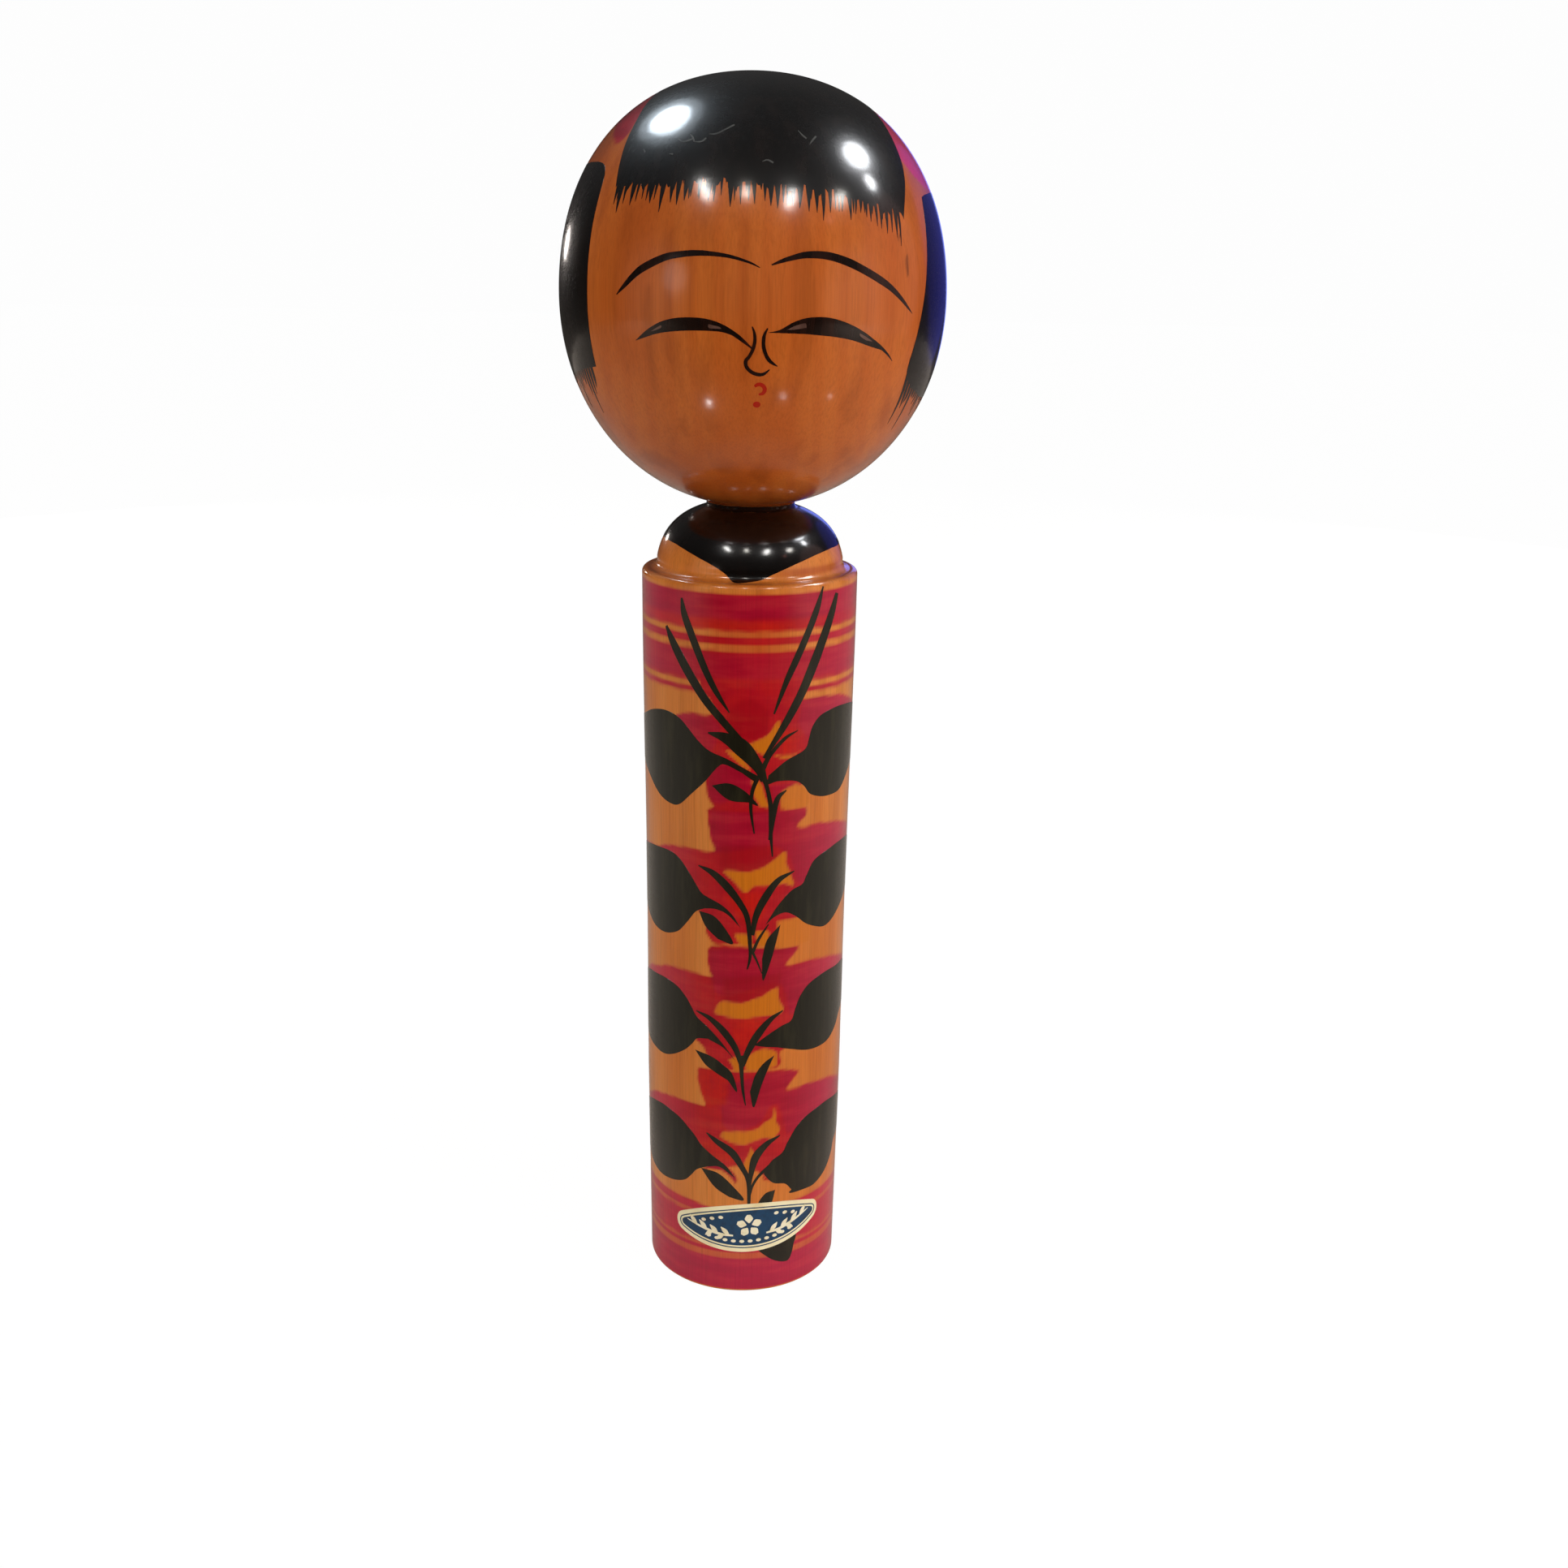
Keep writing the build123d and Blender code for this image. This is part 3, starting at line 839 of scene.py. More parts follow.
def crown_map(points):
    """Head points given in degrees round, moved to the map that over_crown reads."""
    places = np.array(degrees_round(points), float)
    reach, angle = CROWN - places[:, 1], places[:, 0] / HEAD_R
    return np.stack([reach * np.sin(angle), -reach * np.cos(angle)], 1)


def fringe_strokes():
    """The brush tips that hang below the fringe: (degrees round, height of the tip, width)."""
    rng = np.random.default_rng(11)
    tips = [(-44, 20.6, 2.2), (-42.4, 18.8, 2.4), (-40.4, 20.8, 1.6), (-37.2, 20.4, 2.6), (-35.4, 21.2, 1.5),
            (-30.6, 20.8, 2.8), (-28.8, 21.6, 1.5), (-26.6, 19, 2.2), (-23.8, 21, 2.2), (-21.6, 20.5, 2.2),
            (-19.2, 21.4, 2.2), (-17.5, 22.3, 1.3), (-15, 21.8, 1.4), (-12, 21.4, 2.2), (-10.8, 22.8, 1.2),
            (-8.6, 22.6, 1.2), (-5.8, 20.2, 2.4), (-4.6, 21.6, 1.2), (-3, 20.8, 1.3), (-0.6, 21.6, 1.5),
            (0.9, 20.9, 2.0), (4.4, 22.2, 1.3), (5.9, 20.6, 2.4), (7.9, 20.1, 2.2), (9.7, 21.3, 1.6),
            (12.4, 20.7, 1.8), (14.6, 20.2, 2.3), (17, 19.6, 2.0), (19.4, 19.4, 2.0), (21.6, 17.8, 2.0),
            (23.7, 19.5, 1.8), (25.5, 20.2, 1.3), (27.7, 19.8, 1.7), (29.8, 18.1, 2.1), (31.2, 19.6, 1.5),
            (33.8, 19.7, 2.1), (35.4, 18.8, 1.3), (37, 17.9, 2.0), (38.8, 17, 1.7), (40.6, 16.5, 1.7),
            (42.8, 15.5, 1.9), (44.7, 15.8, 1.5), (46.5, 14.7, 2.3), (47.8, 13, 1.5)]
    strokes = [hair(place, tip, width, rng) for place, tip, width in tips]
    for place in np.arange(-43.4, 47, 2.1):     # shorter hairs between the tips
        tip = fringe_line(place) - rng.uniform(0.8, 3.4)
        strokes.append(hair(place + rng.uniform(-0.9, 0.9), tip, rng.uniform(0.9, 1.7), rng))
    return strokes


def fringe_line(place):
    """How high the solid part of the fringe ends, at a number of degrees round."""
    edge = np.interp(place, [-46, -42, -30, -10, 4, 14, 28, 36, 42, 50.5],
                     [24.2, 24.6, 25.0, 25.7, 25.3, 24.4, 23.6, 21.9, 20.4, 19.8])
    return float(edge + 0.7 * math.sin(2.1 * place) + 0.5 * math.sin(0.83 * place + 1))


def hair(place, tip, width, rng):
    """One tapering hair of the fringe, width in degrees, on the map seen from above."""
    top = fringe_line(place) + 2.6
    lean = rng.uniform(-0.3, 0.3) - 0.7 * min(1, max(0, place / 20))
    points = [(place, top), (place + 0.35 * lean, 0.5 * (top + tip)), (place + lean, tip)]
    return stroke(crown_map(points), [width * DEGREE, 0.72 * width * DEGREE, 0.12])


def bangs():
    """The black fringe: over the crown from ear to ear, with a brushed lower edge."""
    left = [(-45.2, 24.4), (-47.4, 30), (-49.8, 35.5), (-52.5, 41), (-57, 45.5), (-64, 50), (-75, 54),
            (-86, 56.5)]
    right = [(82, 49.5), (73, 46.5), (66, 41.5), (61.5, 36), (58.6, 31), (55.4, 26.6), (50.5, 20)]
    back = [(-100, 59), (-125, 61), (-180, 63), (130, 60), (100, 54)]
    low = [(place, fringe_line(place)) for place in np.linspace(50, -44.8, 96)]
    cap = shape(*[crown_map(stretch) for stretch in (left, back, right, low)])
    return [cap] + fringe_strokes()


def side_hair():
    """The black locks in front of each ear, with ragged lower ends."""
    rng = np.random.default_rng(5)
    left = head_shape(
        [(-52.5, -14), (-52.4, 8), (-52.6, 24), (-54.5, 28.6), (-60, 30.5), (-75, 30.8), (-95, 30),
         (-106, 27), (-109, 20), (-110, 0), (-109, -16)],
        [(-100, -17.5), (-80, -17), (-62, -15)],
    )
    right = head_shape(
        [(64.5, 24), (62.3, 19), (58.6, 5), (55.6, -5), (54, -14)],
        [(60, -18), (76, -21), (100, -20), (107, -17)],
        [(109, 0), (108.5, 16), (104, 24), (84, 25.5), (70, 24.8)],
    )
    wisps = []
    for start, end, low in ((-109, -54, -16.4), (55, 107, -19.5)):
        for place in np.arange(start, end, 1.9):
            tip = low - rng.uniform(0.6, 5.0) - (5 if rng.random() < 0.16 else 0)
            points = [(place, low + 5), (place + 0.3, low), (place + rng.uniform(-0.8, 0.8), tip)]
            wisps.append(head_stroke(points, [1.3, 1.1, 0.12]))
    return [left, right] + wisps


def brows():
    """Two long arched brows, in mm round."""
    left = stroke(
        [(-31.2, 1.9), (-28.8, 3.9), (-26.3, 6), (-23.8, 7.6), (-19.1, 9.6), (-15.9, 10.3), (-11.9, 10.7),
         (-7.9, 10.6), (-4, 10.1), (0, 9), (2.2, 8)],
        [0.2, 0.95, 1.35, 1.6, 1.5, 1.35, 1.2, 0.95, 0.7, 0.45, 0.15],
    )
    right = stroke(
        [(4.7, 8.6), (7.1, 9.5), (9.5, 10.2), (11.9, 10.7), (15.1, 10.8), (18.3, 10.4), (22.2, 9.3),
         (26.2, 7.7), (30.2, 5.9), (33.3, 4.3), (36.5, 2.2), (38.9, 0.4), (40.9, -1.1)],
        [0.3, 0.8, 1.1, 1.35, 1.55, 1.65, 1.7, 1.65, 1.6, 1.35, 1.0, 0.6, 0.12],
    )
    return [left, right]


def eyes():
    """Narrow downcast eyes: the dark of each eye, and the lid stroke that runs out past it."""
    left = head_shape(
        [(-33.4, -7.6), (-30, -5.6), (-27, -4.2), (-24, -3.2), (-20, -2.5), (-15, -2.3), (-11, -2.6),
         (-7, -3.6), (-3.6, -5.2)],
        [(-4.4, -5.8), (-8, -5.1), (-15, -5), (-21, -5.3), (-26, -5.9), (-30, -6.8)],
    )
    left_lid = head_stroke([(-8, -3.9), (-4.6, -5.2), (-2, -6.6), (0.8, -8.4)], [0.6, 0.95, 0.8, 0.3])
    right = head_shape(
        [(5.2, -5.1), (8, -4.6), (10, -3.8), (12, -2.9), (15, -2.1), (18, -1.8), (22, -1.9), (26, -2.6),
         (30, -3.7), (34, -5.2), (38, -7), (41.5, -8.9)],
        [(38, -8.4), (35, -7.8), (30, -6.7), (25, -6), (20, -5.6), (15, -5.3), (10, -5.2)],
    )
    right_lid = head_stroke([(37, -7), (40, -8.3), (43, -9.8), (45.4, -11.3)], [0.9, 0.7, 0.45, 0.12])
    return [left, left_lid, right, right_lid]


def eye_whites():
    """The pale slivers at the corners of the eyes."""
    return [
        head_shape([(-28, -5.5), (-24.6, -4.1)], [(-24.7, -4.7), (-26.4, -5.2)]),
        head_shape([(-10.9, -3.6), (-8, -4.1)], [(-7.4, -4.5), (-10.8, -4.4)]),
        head_shape([(10.2, -4.5), (12.6, -3.6), (15.3, -3.1)], [(15.6, -4), (12.4, -4.4)]),
        head_shape([(31.8, -5.1), (34, -5.9), (36.4, -6.9)], [(34, -6.6), (31.9, -5.7)]),
    ]


def nose():
    """Two fine lines, the left one curling under, in mm round."""
    left = stroke([(0.7, -3.9), (1.2, -5.3), (1.3, -7), (0.9, -8.7), (0.1, -10.2), (-0.6, -11.1),
                   (-0.5, -12.3), (0.5, -13.4), (2, -14), (3.4, -13.9), (4.7, -12.9)],
                  [0.25, 0.6, 0.75, 0.75, 0.75, 0.8, 0.8, 0.8, 0.8, 0.65, 0.2])
    right = stroke([(4, -4.2), (3.3, -5.8), (3.2, -7.8), (3.7, -9.6), (4.7, -11.1), (6.4, -12.2)],
                   [0.25, 0.7, 0.8, 0.8, 0.75, 0.2])
    return [left, right]


def mouth():
    """A small curl of red and a drop under it, in mm round."""
    curl = stroke([(1.4, -16.7), (2.3, -16.2), (3.3, -16.5), (3.8, -17.4), (3.3, -18.3), (2.4, -18.5)],
                  [0.6, 0.85, 0.9, 0.95, 0.8, 0.4])
    turn = np.linspace(0, 2 * math.pi, 20, endpoint=False)
    drop = np.stack([2.0 + 0.9 * np.cos(turn), -20.9 + 0.72 * np.sin(turn)], 1)
    return [curl, drop]


def scratches():
    """Fine grey scuffs in the gloss of the fringe."""
    lines = [
        [(-26, 35.6), (-23.5, 34.9), (-20.5, 35.5)],
        [(-22, 36.8), (-20.6, 36), (-19.6, 34.9)],
        [(-19.5, 34.8), (-17, 34.9), (-15.6, 35.8)],
        [(-15, 36.8), (-12.4, 36.9), (-9.6, 38), (-6.4, 39.4)],
        [(-38.6, 33.2), (-37.4, 32.4)],
        [(-27.4, 31.9), (-26, 31.8)],
        [(16.4, 38.2), (17.6, 37), (18.8, 36.2)],
        [(19.4, 34.6), (20.6, 35.6), (22.6, 36.9)],
        [(3.4, 30.2), (5, 30.6), (6.8, 30)],
    ]
    return [stroke(crown_map(points), [0.12] + [0.4] * (len(points) - 1)) for points in lines]


def ribbons():
    """The red hair ties: a band on each side, from the temple back to behind the ear."""
    left = head_shape(
        [(-51.2, 38), (-55, 46), (-66, 52), (-80, 56.5), (-100, 58.5), (-118, 55.5), (-124, 49)],
        [(-124, 49), (-118, 44), (-100, 42.6), (-84, 42.4), (-72, 40.8), (-64, 37.6), (-57, 35.2),
         (-53, 35.6)],
    )
    right = head_shape(
        [(58.8, 33.8), (64, 41), (71, 46), (82, 49.5), (100, 51.5), (117, 47), (123, 38)],
        [(123, 38), (116, 29), (100, 25.6), (86, 25.2), (74, 26.2), (66, 28.2), (61.4, 31)],
    )
    return [left, right]


def head_dyes(piece, angle, along):
    """Writes where the red hair ties and a few brown stains lie on the head, and a painted pink sheen on its
    right side.
    """
    flat = np.stack([angle * HEAD_R, along - LEVEL], 1)
    flat += np.stack([wander(flat[:, 1], flat[:, 0], 0.2, 8), wander(flat[:, 0], flat[:, 1], 0.2, 9)], 1)
    knots = [
        head_stroke([(49.2, 11.4), (49, 9), (49.7, 6.6)], [0.5, 0.9, 0.5]),
        head_stroke([(47.2, 15.6), (46.4, 14.4)], [0.4, 0.6]),
    ]
    faint = head_stroke([(-28.3, 4), (-28.6, -0.5), (-28.6, -8), (-29, -20)], [1.2, 2.6, 2.2, 0.8])
    red = soft(depth(flat, ribbons()), 0.5)
    stain = soft(depth(flat, knots), 0.4) + 0.36 * soft(depth(flat, [faint]), 1.2)
    # painted sheen: on the head's right half the red of the ribbon turns pink, standing in for pink light
    # from that side
    write_dyes(piece, red=red, crimson=np.ones(len(angle)), magenta=0.9 * soft(angle, 0.6), stain=stain)


# --- Label --------------------------------------------------------------------------------

LENS_HALF_LENGTH, LENS_HALF_HEIGHT, LENS_TIP = 24.0, 7.2, 3.0
LENS_R = (LENS_HALF_LENGTH**2 + LENS_HALF_HEIGHT**2) / (2 * LENS_HALF_HEIGHT)
LENS_DROP = LENS_R - LENS_HALF_HEIGHT       # from the label's middle to the middle of each edge's circle
LABEL_ROUND, LABEL_Z, LABEL_TILT = 2.4, 19.7, math.radians(3.4)
PAPER = 0.15    # mm


def on_label(points):
    """Label points, from its middle, to (angle, distance along the body's outline)."""
    cos, sin = math.cos(LABEL_TILT), math.sin(LABEL_TILT)
    x, y = points.T
    return on_body(np.stack([LABEL_ROUND + x * cos - y * sin, LABEL_Z + x * sin + y * cos], 1))


def lens(inset):
    """The label's outline, moved in by inset mm."""
    tip_x = math.sqrt((LENS_R - LENS_TIP) ** 2 - LENS_DROP**2)
    lean = math.degrees(math.atan2(LENS_DROP, tip_x))
    step = 0.6
    outline = arc((0, -LENS_DROP), LENS_R - inset, lean, 180 - lean, step)
    outline += arc((-tip_x, 0), LENS_TIP - inset, 180 - lean, 180 + lean, step)[1:]
    outline += arc((0, LENS_DROP), LENS_R - inset, 180 + lean, 360 - lean, step)[1:]
    outline += arc((tip_x, 0), LENS_TIP - inset, -lean, lean, step)[1:-1]
    return np.array(outline)


def keyhole(outer, inner):
    """One outline that goes round outer, in along a slit, and back round inner."""
    return np.vstack([outer, outer[:1], inner[:1], inner[::-1]])


def flower(centre, reach):
    """A small plain flower with a dark eye left open."""
    petals = 5
    outlines = []
    for i in range(petals):
        turn = math.pi / 2 + 2 * math.pi * i / petals
        ahead = np.array([math.cos(turn), math.sin(turn)])
        path = [tuple(np.array(centre) + share * reach * ahead) for share in (0.24, 0.62, 1)]
        outlines.append(stroke(path, [0.3, 0.66 * reach, 0.9], 0.3))
    return outlines


def sprig(side):
    """A plain leafy twig, from beside the flower towards a tip of the label."""
    stem = [(side * 4.4, -2.1), (side * 8, -1.7), (side * 12.5, -0.4), (side * 17.2, 1.1)]
    outlines = [stroke(stem, [0.5, 0.75, 0.7, 0.25], 0.4)]
    for x, y, lift in ((5.4, -2.0, 1), (8.4, -1.6, 1), (11.4, -0.7, 1), (14.2, 0.2, 1),
                       (6.9, -1.9, -1), (9.9, -1.1, -1)):
        root, tip = (side * x, y), (side * (x + 2.1), y + 1.9 * lift + 0.5)
        middle = ((root[0] + tip[0]) / 2, (root[1] + tip[1]) / 2)
        outlines.append(stroke([root, middle, tip], [0.25, 1.25, 0.2], 0.3))
    return outlines


def beads():
    """Plain beads along both long edges of the field."""
    radius = LENS_R - 3.25
    turn = np.linspace(0, 2 * math.pi, 8, endpoint=False)
    outlines = []
    for upward, places in ((1, (-12.2, -9.8, -7.4, 7.4, 9.8, 12.2)), (-1, np.arange(-11, 11.1, 2.2))):
        for x in places:
            y = upward * (math.sqrt(radius**2 - x * x) - LENS_DROP)
            outlines.append(np.stack([x + 0.68 * np.cos(turn), y + 0.5 * np.sin(turn)], 1))
    return outlines


def label_print():
    """The label's dark printing: a thin line inside its edge, and the field."""
    rule = keyhole(lens(1.15), lens(1.45))
    field = lens(1.95)
    return skin("label_print", body_surface, on_label, [rule, field], 1.5, PAPER + 0.05, -PAPER + 0.04)


def label_emblem():
    """The label's plain emblem: a flower between two sprigs."""
    outlines = flower((0, 0.7), 3.3) + sprig(-1) + sprig(1) + beads()
    return skin("label_emblem", body_surface, on_label, outlines, 1.2, PAPER + 0.08, -PAPER - 0.02)


# --- Materials ----------------------------------------------------------------------------


def srgb(red, green, blue):
    """An sRGB colour in 0 to 255, as a node colour."""
    linear = [(c / 255 / 12.92) if c <= 10 else ((c / 255 + 0.055) / 1.055) ** 2.4
              for c in (red, green, blue)]
    return (*linear, 1.0)


class Recipe:
    """A material under construction: short calls that add nodes and give back their outputs."""

    def __init__(self, name):
        self.material = bpy.data.materials.new(name)
        self.material.use_nodes = True
        self.tree = self.material.node_tree
        self.shader = self.tree.nodes["Principled BSDF"]
        self.place = self.add("ShaderNodeTexCoord").outputs["Object"]

    def add(self, kind, inputs=(), **settings):
        """A new node, with inputs given as values or as other nodes' outputs."""
        node = self.tree.nodes.new(kind)
        for key, value in settings.items():
            setattr(node, key, value)
        for key, value in dict(inputs).items():
            self.put(node.inputs[key], value)
        return node

    def put(self, socket, value):
        if isinstance(value, bpy.types.NodeSocket):
            self.tree.links.new(value, socket)
        else:
            socket.default_value = value

    def stretched(self, scale, shift):
        """Object coordinates scaled to cycles a millimetre along each axis."""
        scale = [1000 * s for s in scale]
        inputs = {"Vector": self.place, "Scale": scale, "Location": shift}
        return self.add("ShaderNodeMapping", inputs).outputs["Vector"]

    def noise(self, scale, detail, roughness=0.5, shift=(0, 0, 0)):
        inputs = {"Vector": self.stretched(scale, shift), "Scale": 1.0, "Detail": detail,
                  "Roughness": roughness}
        return self.add("ShaderNodeTexNoise", inputs).outputs["Fac"]

    def math(self, operation, a, b=0.0, clamp=False):
        node = self.add("ShaderNodeMath", {0: a, 1: b}, operation=operation, use_clamp=clamp)
        return node.outputs[0]

    def between(self, value, low, high, to_low=0.0, to_high=1.0):
        """value moved from the range low to high into to_low to to_high, smoothly."""
        inputs = {"Value": value, "From Min": low, "From Max": high, "To Min": to_low, "To Max": to_high}
        return self.add("ShaderNodeMapRange", inputs, interpolation_type="SMOOTHSTEP").outputs["Result"]

    def mix(self, share, a, b, blend="MIX"):
        node = self.add("ShaderNodeMix", {0: share, 6: a, 7: b}, data_type="RGBA", blend_type=blend)
        return node.outputs[2]

    def dye(self, name):
        return self.add("ShaderNodeAttribute", attribute_name=name).outputs["Fac"]

    def bump(self, height, distance_mm):
        inputs = {"Height": height, "Distance": distance_mm * MM, "Strength": 1.0}
        return self.add("ShaderNodeBump", inputs).outputs["Normal"]

    def finish(self, **inputs):
        """Sets the shader's inputs, and gives the finished material."""
        for key, value in inputs.items():
            self.put(self.shader.inputs[key.replace("_", " ")], value)
        return self.material


def wood_grain(make, light, middle, dark, pith, fine, coarse):
    """Growth rings round a far upright pith, and fibres: upright streaks on a turned face.

    fine and coarse are how strongly the streaks and the broad bands darken it. Gives back the
    tone and the fibres.
    """
    stretch = make.stretched((1, 1, 0.03), pith)
    rings = make.add("ShaderNodeTexWave", {"Vector": stretch, "Scale": 0.062, "Distortion": 4.5,
                     "Detail": 3.0, "Detail Scale": 0.22, "Detail Roughness": 0.6},
                     wave_type="RINGS", rings_direction="Z").outputs["Fac"]
    broad = make.noise((0.045, 0.045, 0.008), 3.0)
    streaks = make.noise((0.42, 0.42, 0.010), 4.0, 0.62)
    fibres = make.noise((2.6, 2.6, 0.05), 4.0, 0.65)
    tone = make.mix(make.between(broad, 0.38, 0.66), light, middle)
    tone = make.mix(make.between(rings, 0.3, 1.0, 0.0, 0.35), tone, middle)
    bands = make.noise((0.15, 0.15, 0.004), 3.0, 0.5, shift=(3, 5, 0))
    tone = make.mix(make.between(bands, 0.48, 0.7, 0.0, coarse), tone, dark)
    tone = make.mix(make.between(streaks, 0.48, 0.76, 0.0, fine), tone, dark)
    tone = make.mix(make.between(fibres, 0.48, 0.76, 0.0, fine), tone, dark)
    return tone, fibres


RELIEF = 0.012      # mm of bump in the wood
SMEAR = 0.048       # and in the gloss over it


def lacquered(make, colour, fibres, roughness):
    """The waxed finish over everything: soft sheen below, a clear gloss above."""
    scuffs = make.noise((0.9, 0.9, 0.9), 5.0, 0.7)
    smears = make.noise((0.06, 0.06, 0.16), 3.0, 0.6)
    rough = make.math("ADD", make.between(scuffs, 0.45, 0.75, 0.0, 0.10), roughness)
    lathe = make.noise((0.02, 0.02, 1.6), 3.0, 0.6)
    relief = make.math("ADD", make.math("MULTIPLY", fibres, 0.6), make.math("MULTIPLY", lathe, 0.5))
    relief = make.math("ADD", relief, make.math("MULTIPLY", smears, 1.5))
    return make.finish(
        Base_Color=colour,
        Roughness=rough,
        IOR=1.45,
        Specular_IOR_Level=0.12,
        Coat_Weight=1.0,
        Coat_Roughness=0.14,
        Coat_IOR=1.5,
        Normal=make.bump(relief, RELIEF),
        Coat_Normal=make.bump(smears, SMEAR),
    )


def dyed_wood(name, light, middle, dark, pith, fine, coarse):
    """Turned wood with dyes soaked into it, each as strong as its attribute says; the pink one also carries
    a painted sheen.
    """
    make = Recipe(name)
    wood, fibres = wood_grain(make, light, middle, dark, pith, fine, coarse)
    brushed = make.noise((0.05, 0.05, 0.30), 4.0, 0.6)
    blotches = make.noise((0.16, 0.16, 0.22), 4.0, 0.6, shift=(7, 3, 1))
    load = make.between(brushed, 0.25, 0.75, 0.95, 1.04)
    red = make.math("MULTIPLY", make.dye("red"), load, True)
    yellow = make.math("MULTIPLY", make.dye("yellow"), 0.94)
    orange_red = make.mix(make.between(blotches, 0.35, 0.7), srgb(200, 24, 14), srgb(182, 12, 20))
    crimson = make.mix(make.between(brushed, 0.35, 0.7), srgb(180, 10, 46), srgb(160, 4, 38))
    dye = make.mix(make.dye("crimson"), orange_red, crimson)
    dye = make.mix(make.math("MULTIPLY", make.dye("deep"), 0.6), dye, srgb(158, 0, 22))
    # the pink mix: a pink tint in the body's base rings, and painted sheen on the body's sides and the
    # head's right side
    dye = make.mix(make.dye("magenta"), dye, srgb(220, 66, 112))
    colour = make.mix(make.math("MULTIPLY", make.dye("stain"), 0.8), wood, srgb(92, 40, 6))
    colour = make.mix(yellow, colour, srgb(208, 114, 14))
    colour = make.mix(make.math("MULTIPLY", make.dye("blush"), 0.55), colour, srgb(150, 44, 20))
    colour = make.mix(red, colour, dye)
    streaks = make.between(fibres, 0.35, 0.75, 1.04, 0.88)
    streaks = make.add("ShaderNodeCombineColor", {0: streaks, 1: streaks, 2: streaks}).outputs[0]
    colour = make.mix(1.0, colour, streaks, "MULTIPLY")
    return lacquered(make, colour, fibres, 0.3)


def ink(name, thick, thin, roughness=0.3):
    """Brushed ink: opaque where it lies thick, browner where the brush ran dry."""
    make = Recipe(name)
    strokes = make.noise((0.30, 0.30, 0.045), 4.0, 0.6)
    fibres = make.noise((3.2, 3.2, 0.05), 4.0, 0.6)
    share = make.math("ADD", make.between(strokes, 0.42, 0.75, 0.0, 0.7),
                      make.between(fibres, 0.55, 0.75, 0.0, 0.3), True)
    return lacquered(make, make.mix(share, thick, thin), fibres, roughness)


def paper():
    """Cream foil paper of the award label."""
    make = Recipe("label_paper")
    fibres = make.noise((2.0, 2.0, 2.0), 4.0, 0.6)
    soil = make.noise((0.12, 0.12, 0.12), 4.0, 0.6)
    colour = make.mix(make.between(soil, 0.45, 0.8, 0.0, 0.7), srgb(255, 246, 204), srgb(236, 208, 140))
    return make.finish(Base_Color=colour, Roughness=make.between(fibres, 0.3, 0.7, 0.32, 0.5),
                       Coat_Weight=0.4, Coat_Roughness=0.2, Normal=make.bump(fibres, 0.01))


def printed(name, colour, worn):
    """Printing on the label, slightly worn."""
    make = Recipe(name)
    wear = make.noise((0.35, 0.35, 0.35), 4.0, 0.65)
    grain = make.noise((3.0, 3.0, 3.0), 3.0, 0.6)
    tone = make.mix(make.between(wear, 0.42, 0.75), colour, worn)
    return make.finish(Base_Color=tone, Roughness=make.between(grain, 0.3, 0.7, 0.28, 0.42),
                       Coat_Weight=0.5, Coat_Roughness=0.15, Normal=make.bump(grain, 0.006))


def dress(piece, material, body):
    """Gives a piece its material, and says what it moves with."""
    piece.data.materials.clear()
    piece.data.materials.append(material)
    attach(piece, body)


# --- Pieces -------------------------------------------------------------------------------


def build_body():
    """The turned body and the ink on it."""
    piece, angle, along = turned_mesh("painted_body", body_surface, 0.5 / 26, 2.0 / 26)
    body_dyes(piece, angle, along)
    tones = srgb(226, 138, 62), srgb(212, 118, 44), srgb(164, 80, 24)
    dress(piece, dyed_wood("body_wood", *tones, (130, 40, 0), 0.13, 0.26), "body")
    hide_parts("body")
    dress(leaf_ink(), ink("leaf_ink", srgb(25, 24, 14), srgb(46, 44, 28)), "body")
    dress(shoulder_ink(), ink("shoulder_ink", srgb(11, 8, 7), srgb(18, 11, 9)), "body")


def build_label():
    """The label's paper, which stays the CAD's own piece, and the printing on it."""
    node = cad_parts["award_label"]
    node.data.materials.clear()
    node.data.materials.append(paper())
    dress(label_print(), printed("label_navy", srgb(0, 62, 100), srgb(0, 44, 72)), "body")
    dress(label_emblem(), printed("label_cream", srgb(255, 248, 216), srgb(236, 222, 176)), "body")


def build_head():
    """The turned head, with its hair and face."""
    piece, angle, along = turned_mesh("painted_head", head_surface, 0.62 / HEAD_R, 1.7 / HEAD_R)
    head_dyes(piece, angle, along)
    tones = srgb(202, 106, 40), srgb(188, 90, 30), srgb(134, 56, 12)
    dress(piece, dyed_wood("head_wood", *tones, (150, 30, 0), 0.08, 0.36), "head")
    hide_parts("head")
    black = ink("hair_ink", srgb(13, 10, 9), srgb(28, 20, 17), 0.36)
    line_black = ink("face_ink", srgb(20, 10, 7), srgb(46, 22, 13))
    dress(skin("bangs_ink", head_surface, over_crown, bangs()), black, "head")
    dress(skin("side_hair_ink", head_surface, on_head, side_hair()), black, "head")
    scuffs = skin("bangs_scuffs", head_surface, over_crown, scratches(), LATTICE, INK_HEIGHT + 0.02, 0)
    dress(scuffs, ink("scuffed_ink", srgb(84, 86, 84), srgb(30, 29, 28), 0.5), "head")
    face = skin("face_ink", head_surface, on_head, brows() + eyes() + nose())
    dress(face, line_black, "head")
    whites = skin("eye_white", head_surface, on_head, eye_whites(), LATTICE, INK_HEIGHT + 0.03)
    dress(whites, ink("eye_white", srgb(100, 72, 62), srgb(56, 36, 30)), "head")
    red = skin("mouth_red", head_surface, on_head, mouth())
    dress(red, ink("mouth_red", srgb(176, 26, 8), srgb(164, 44, 14)), "head")


# --- Camera, lights and floor -------------------------------------------------------------

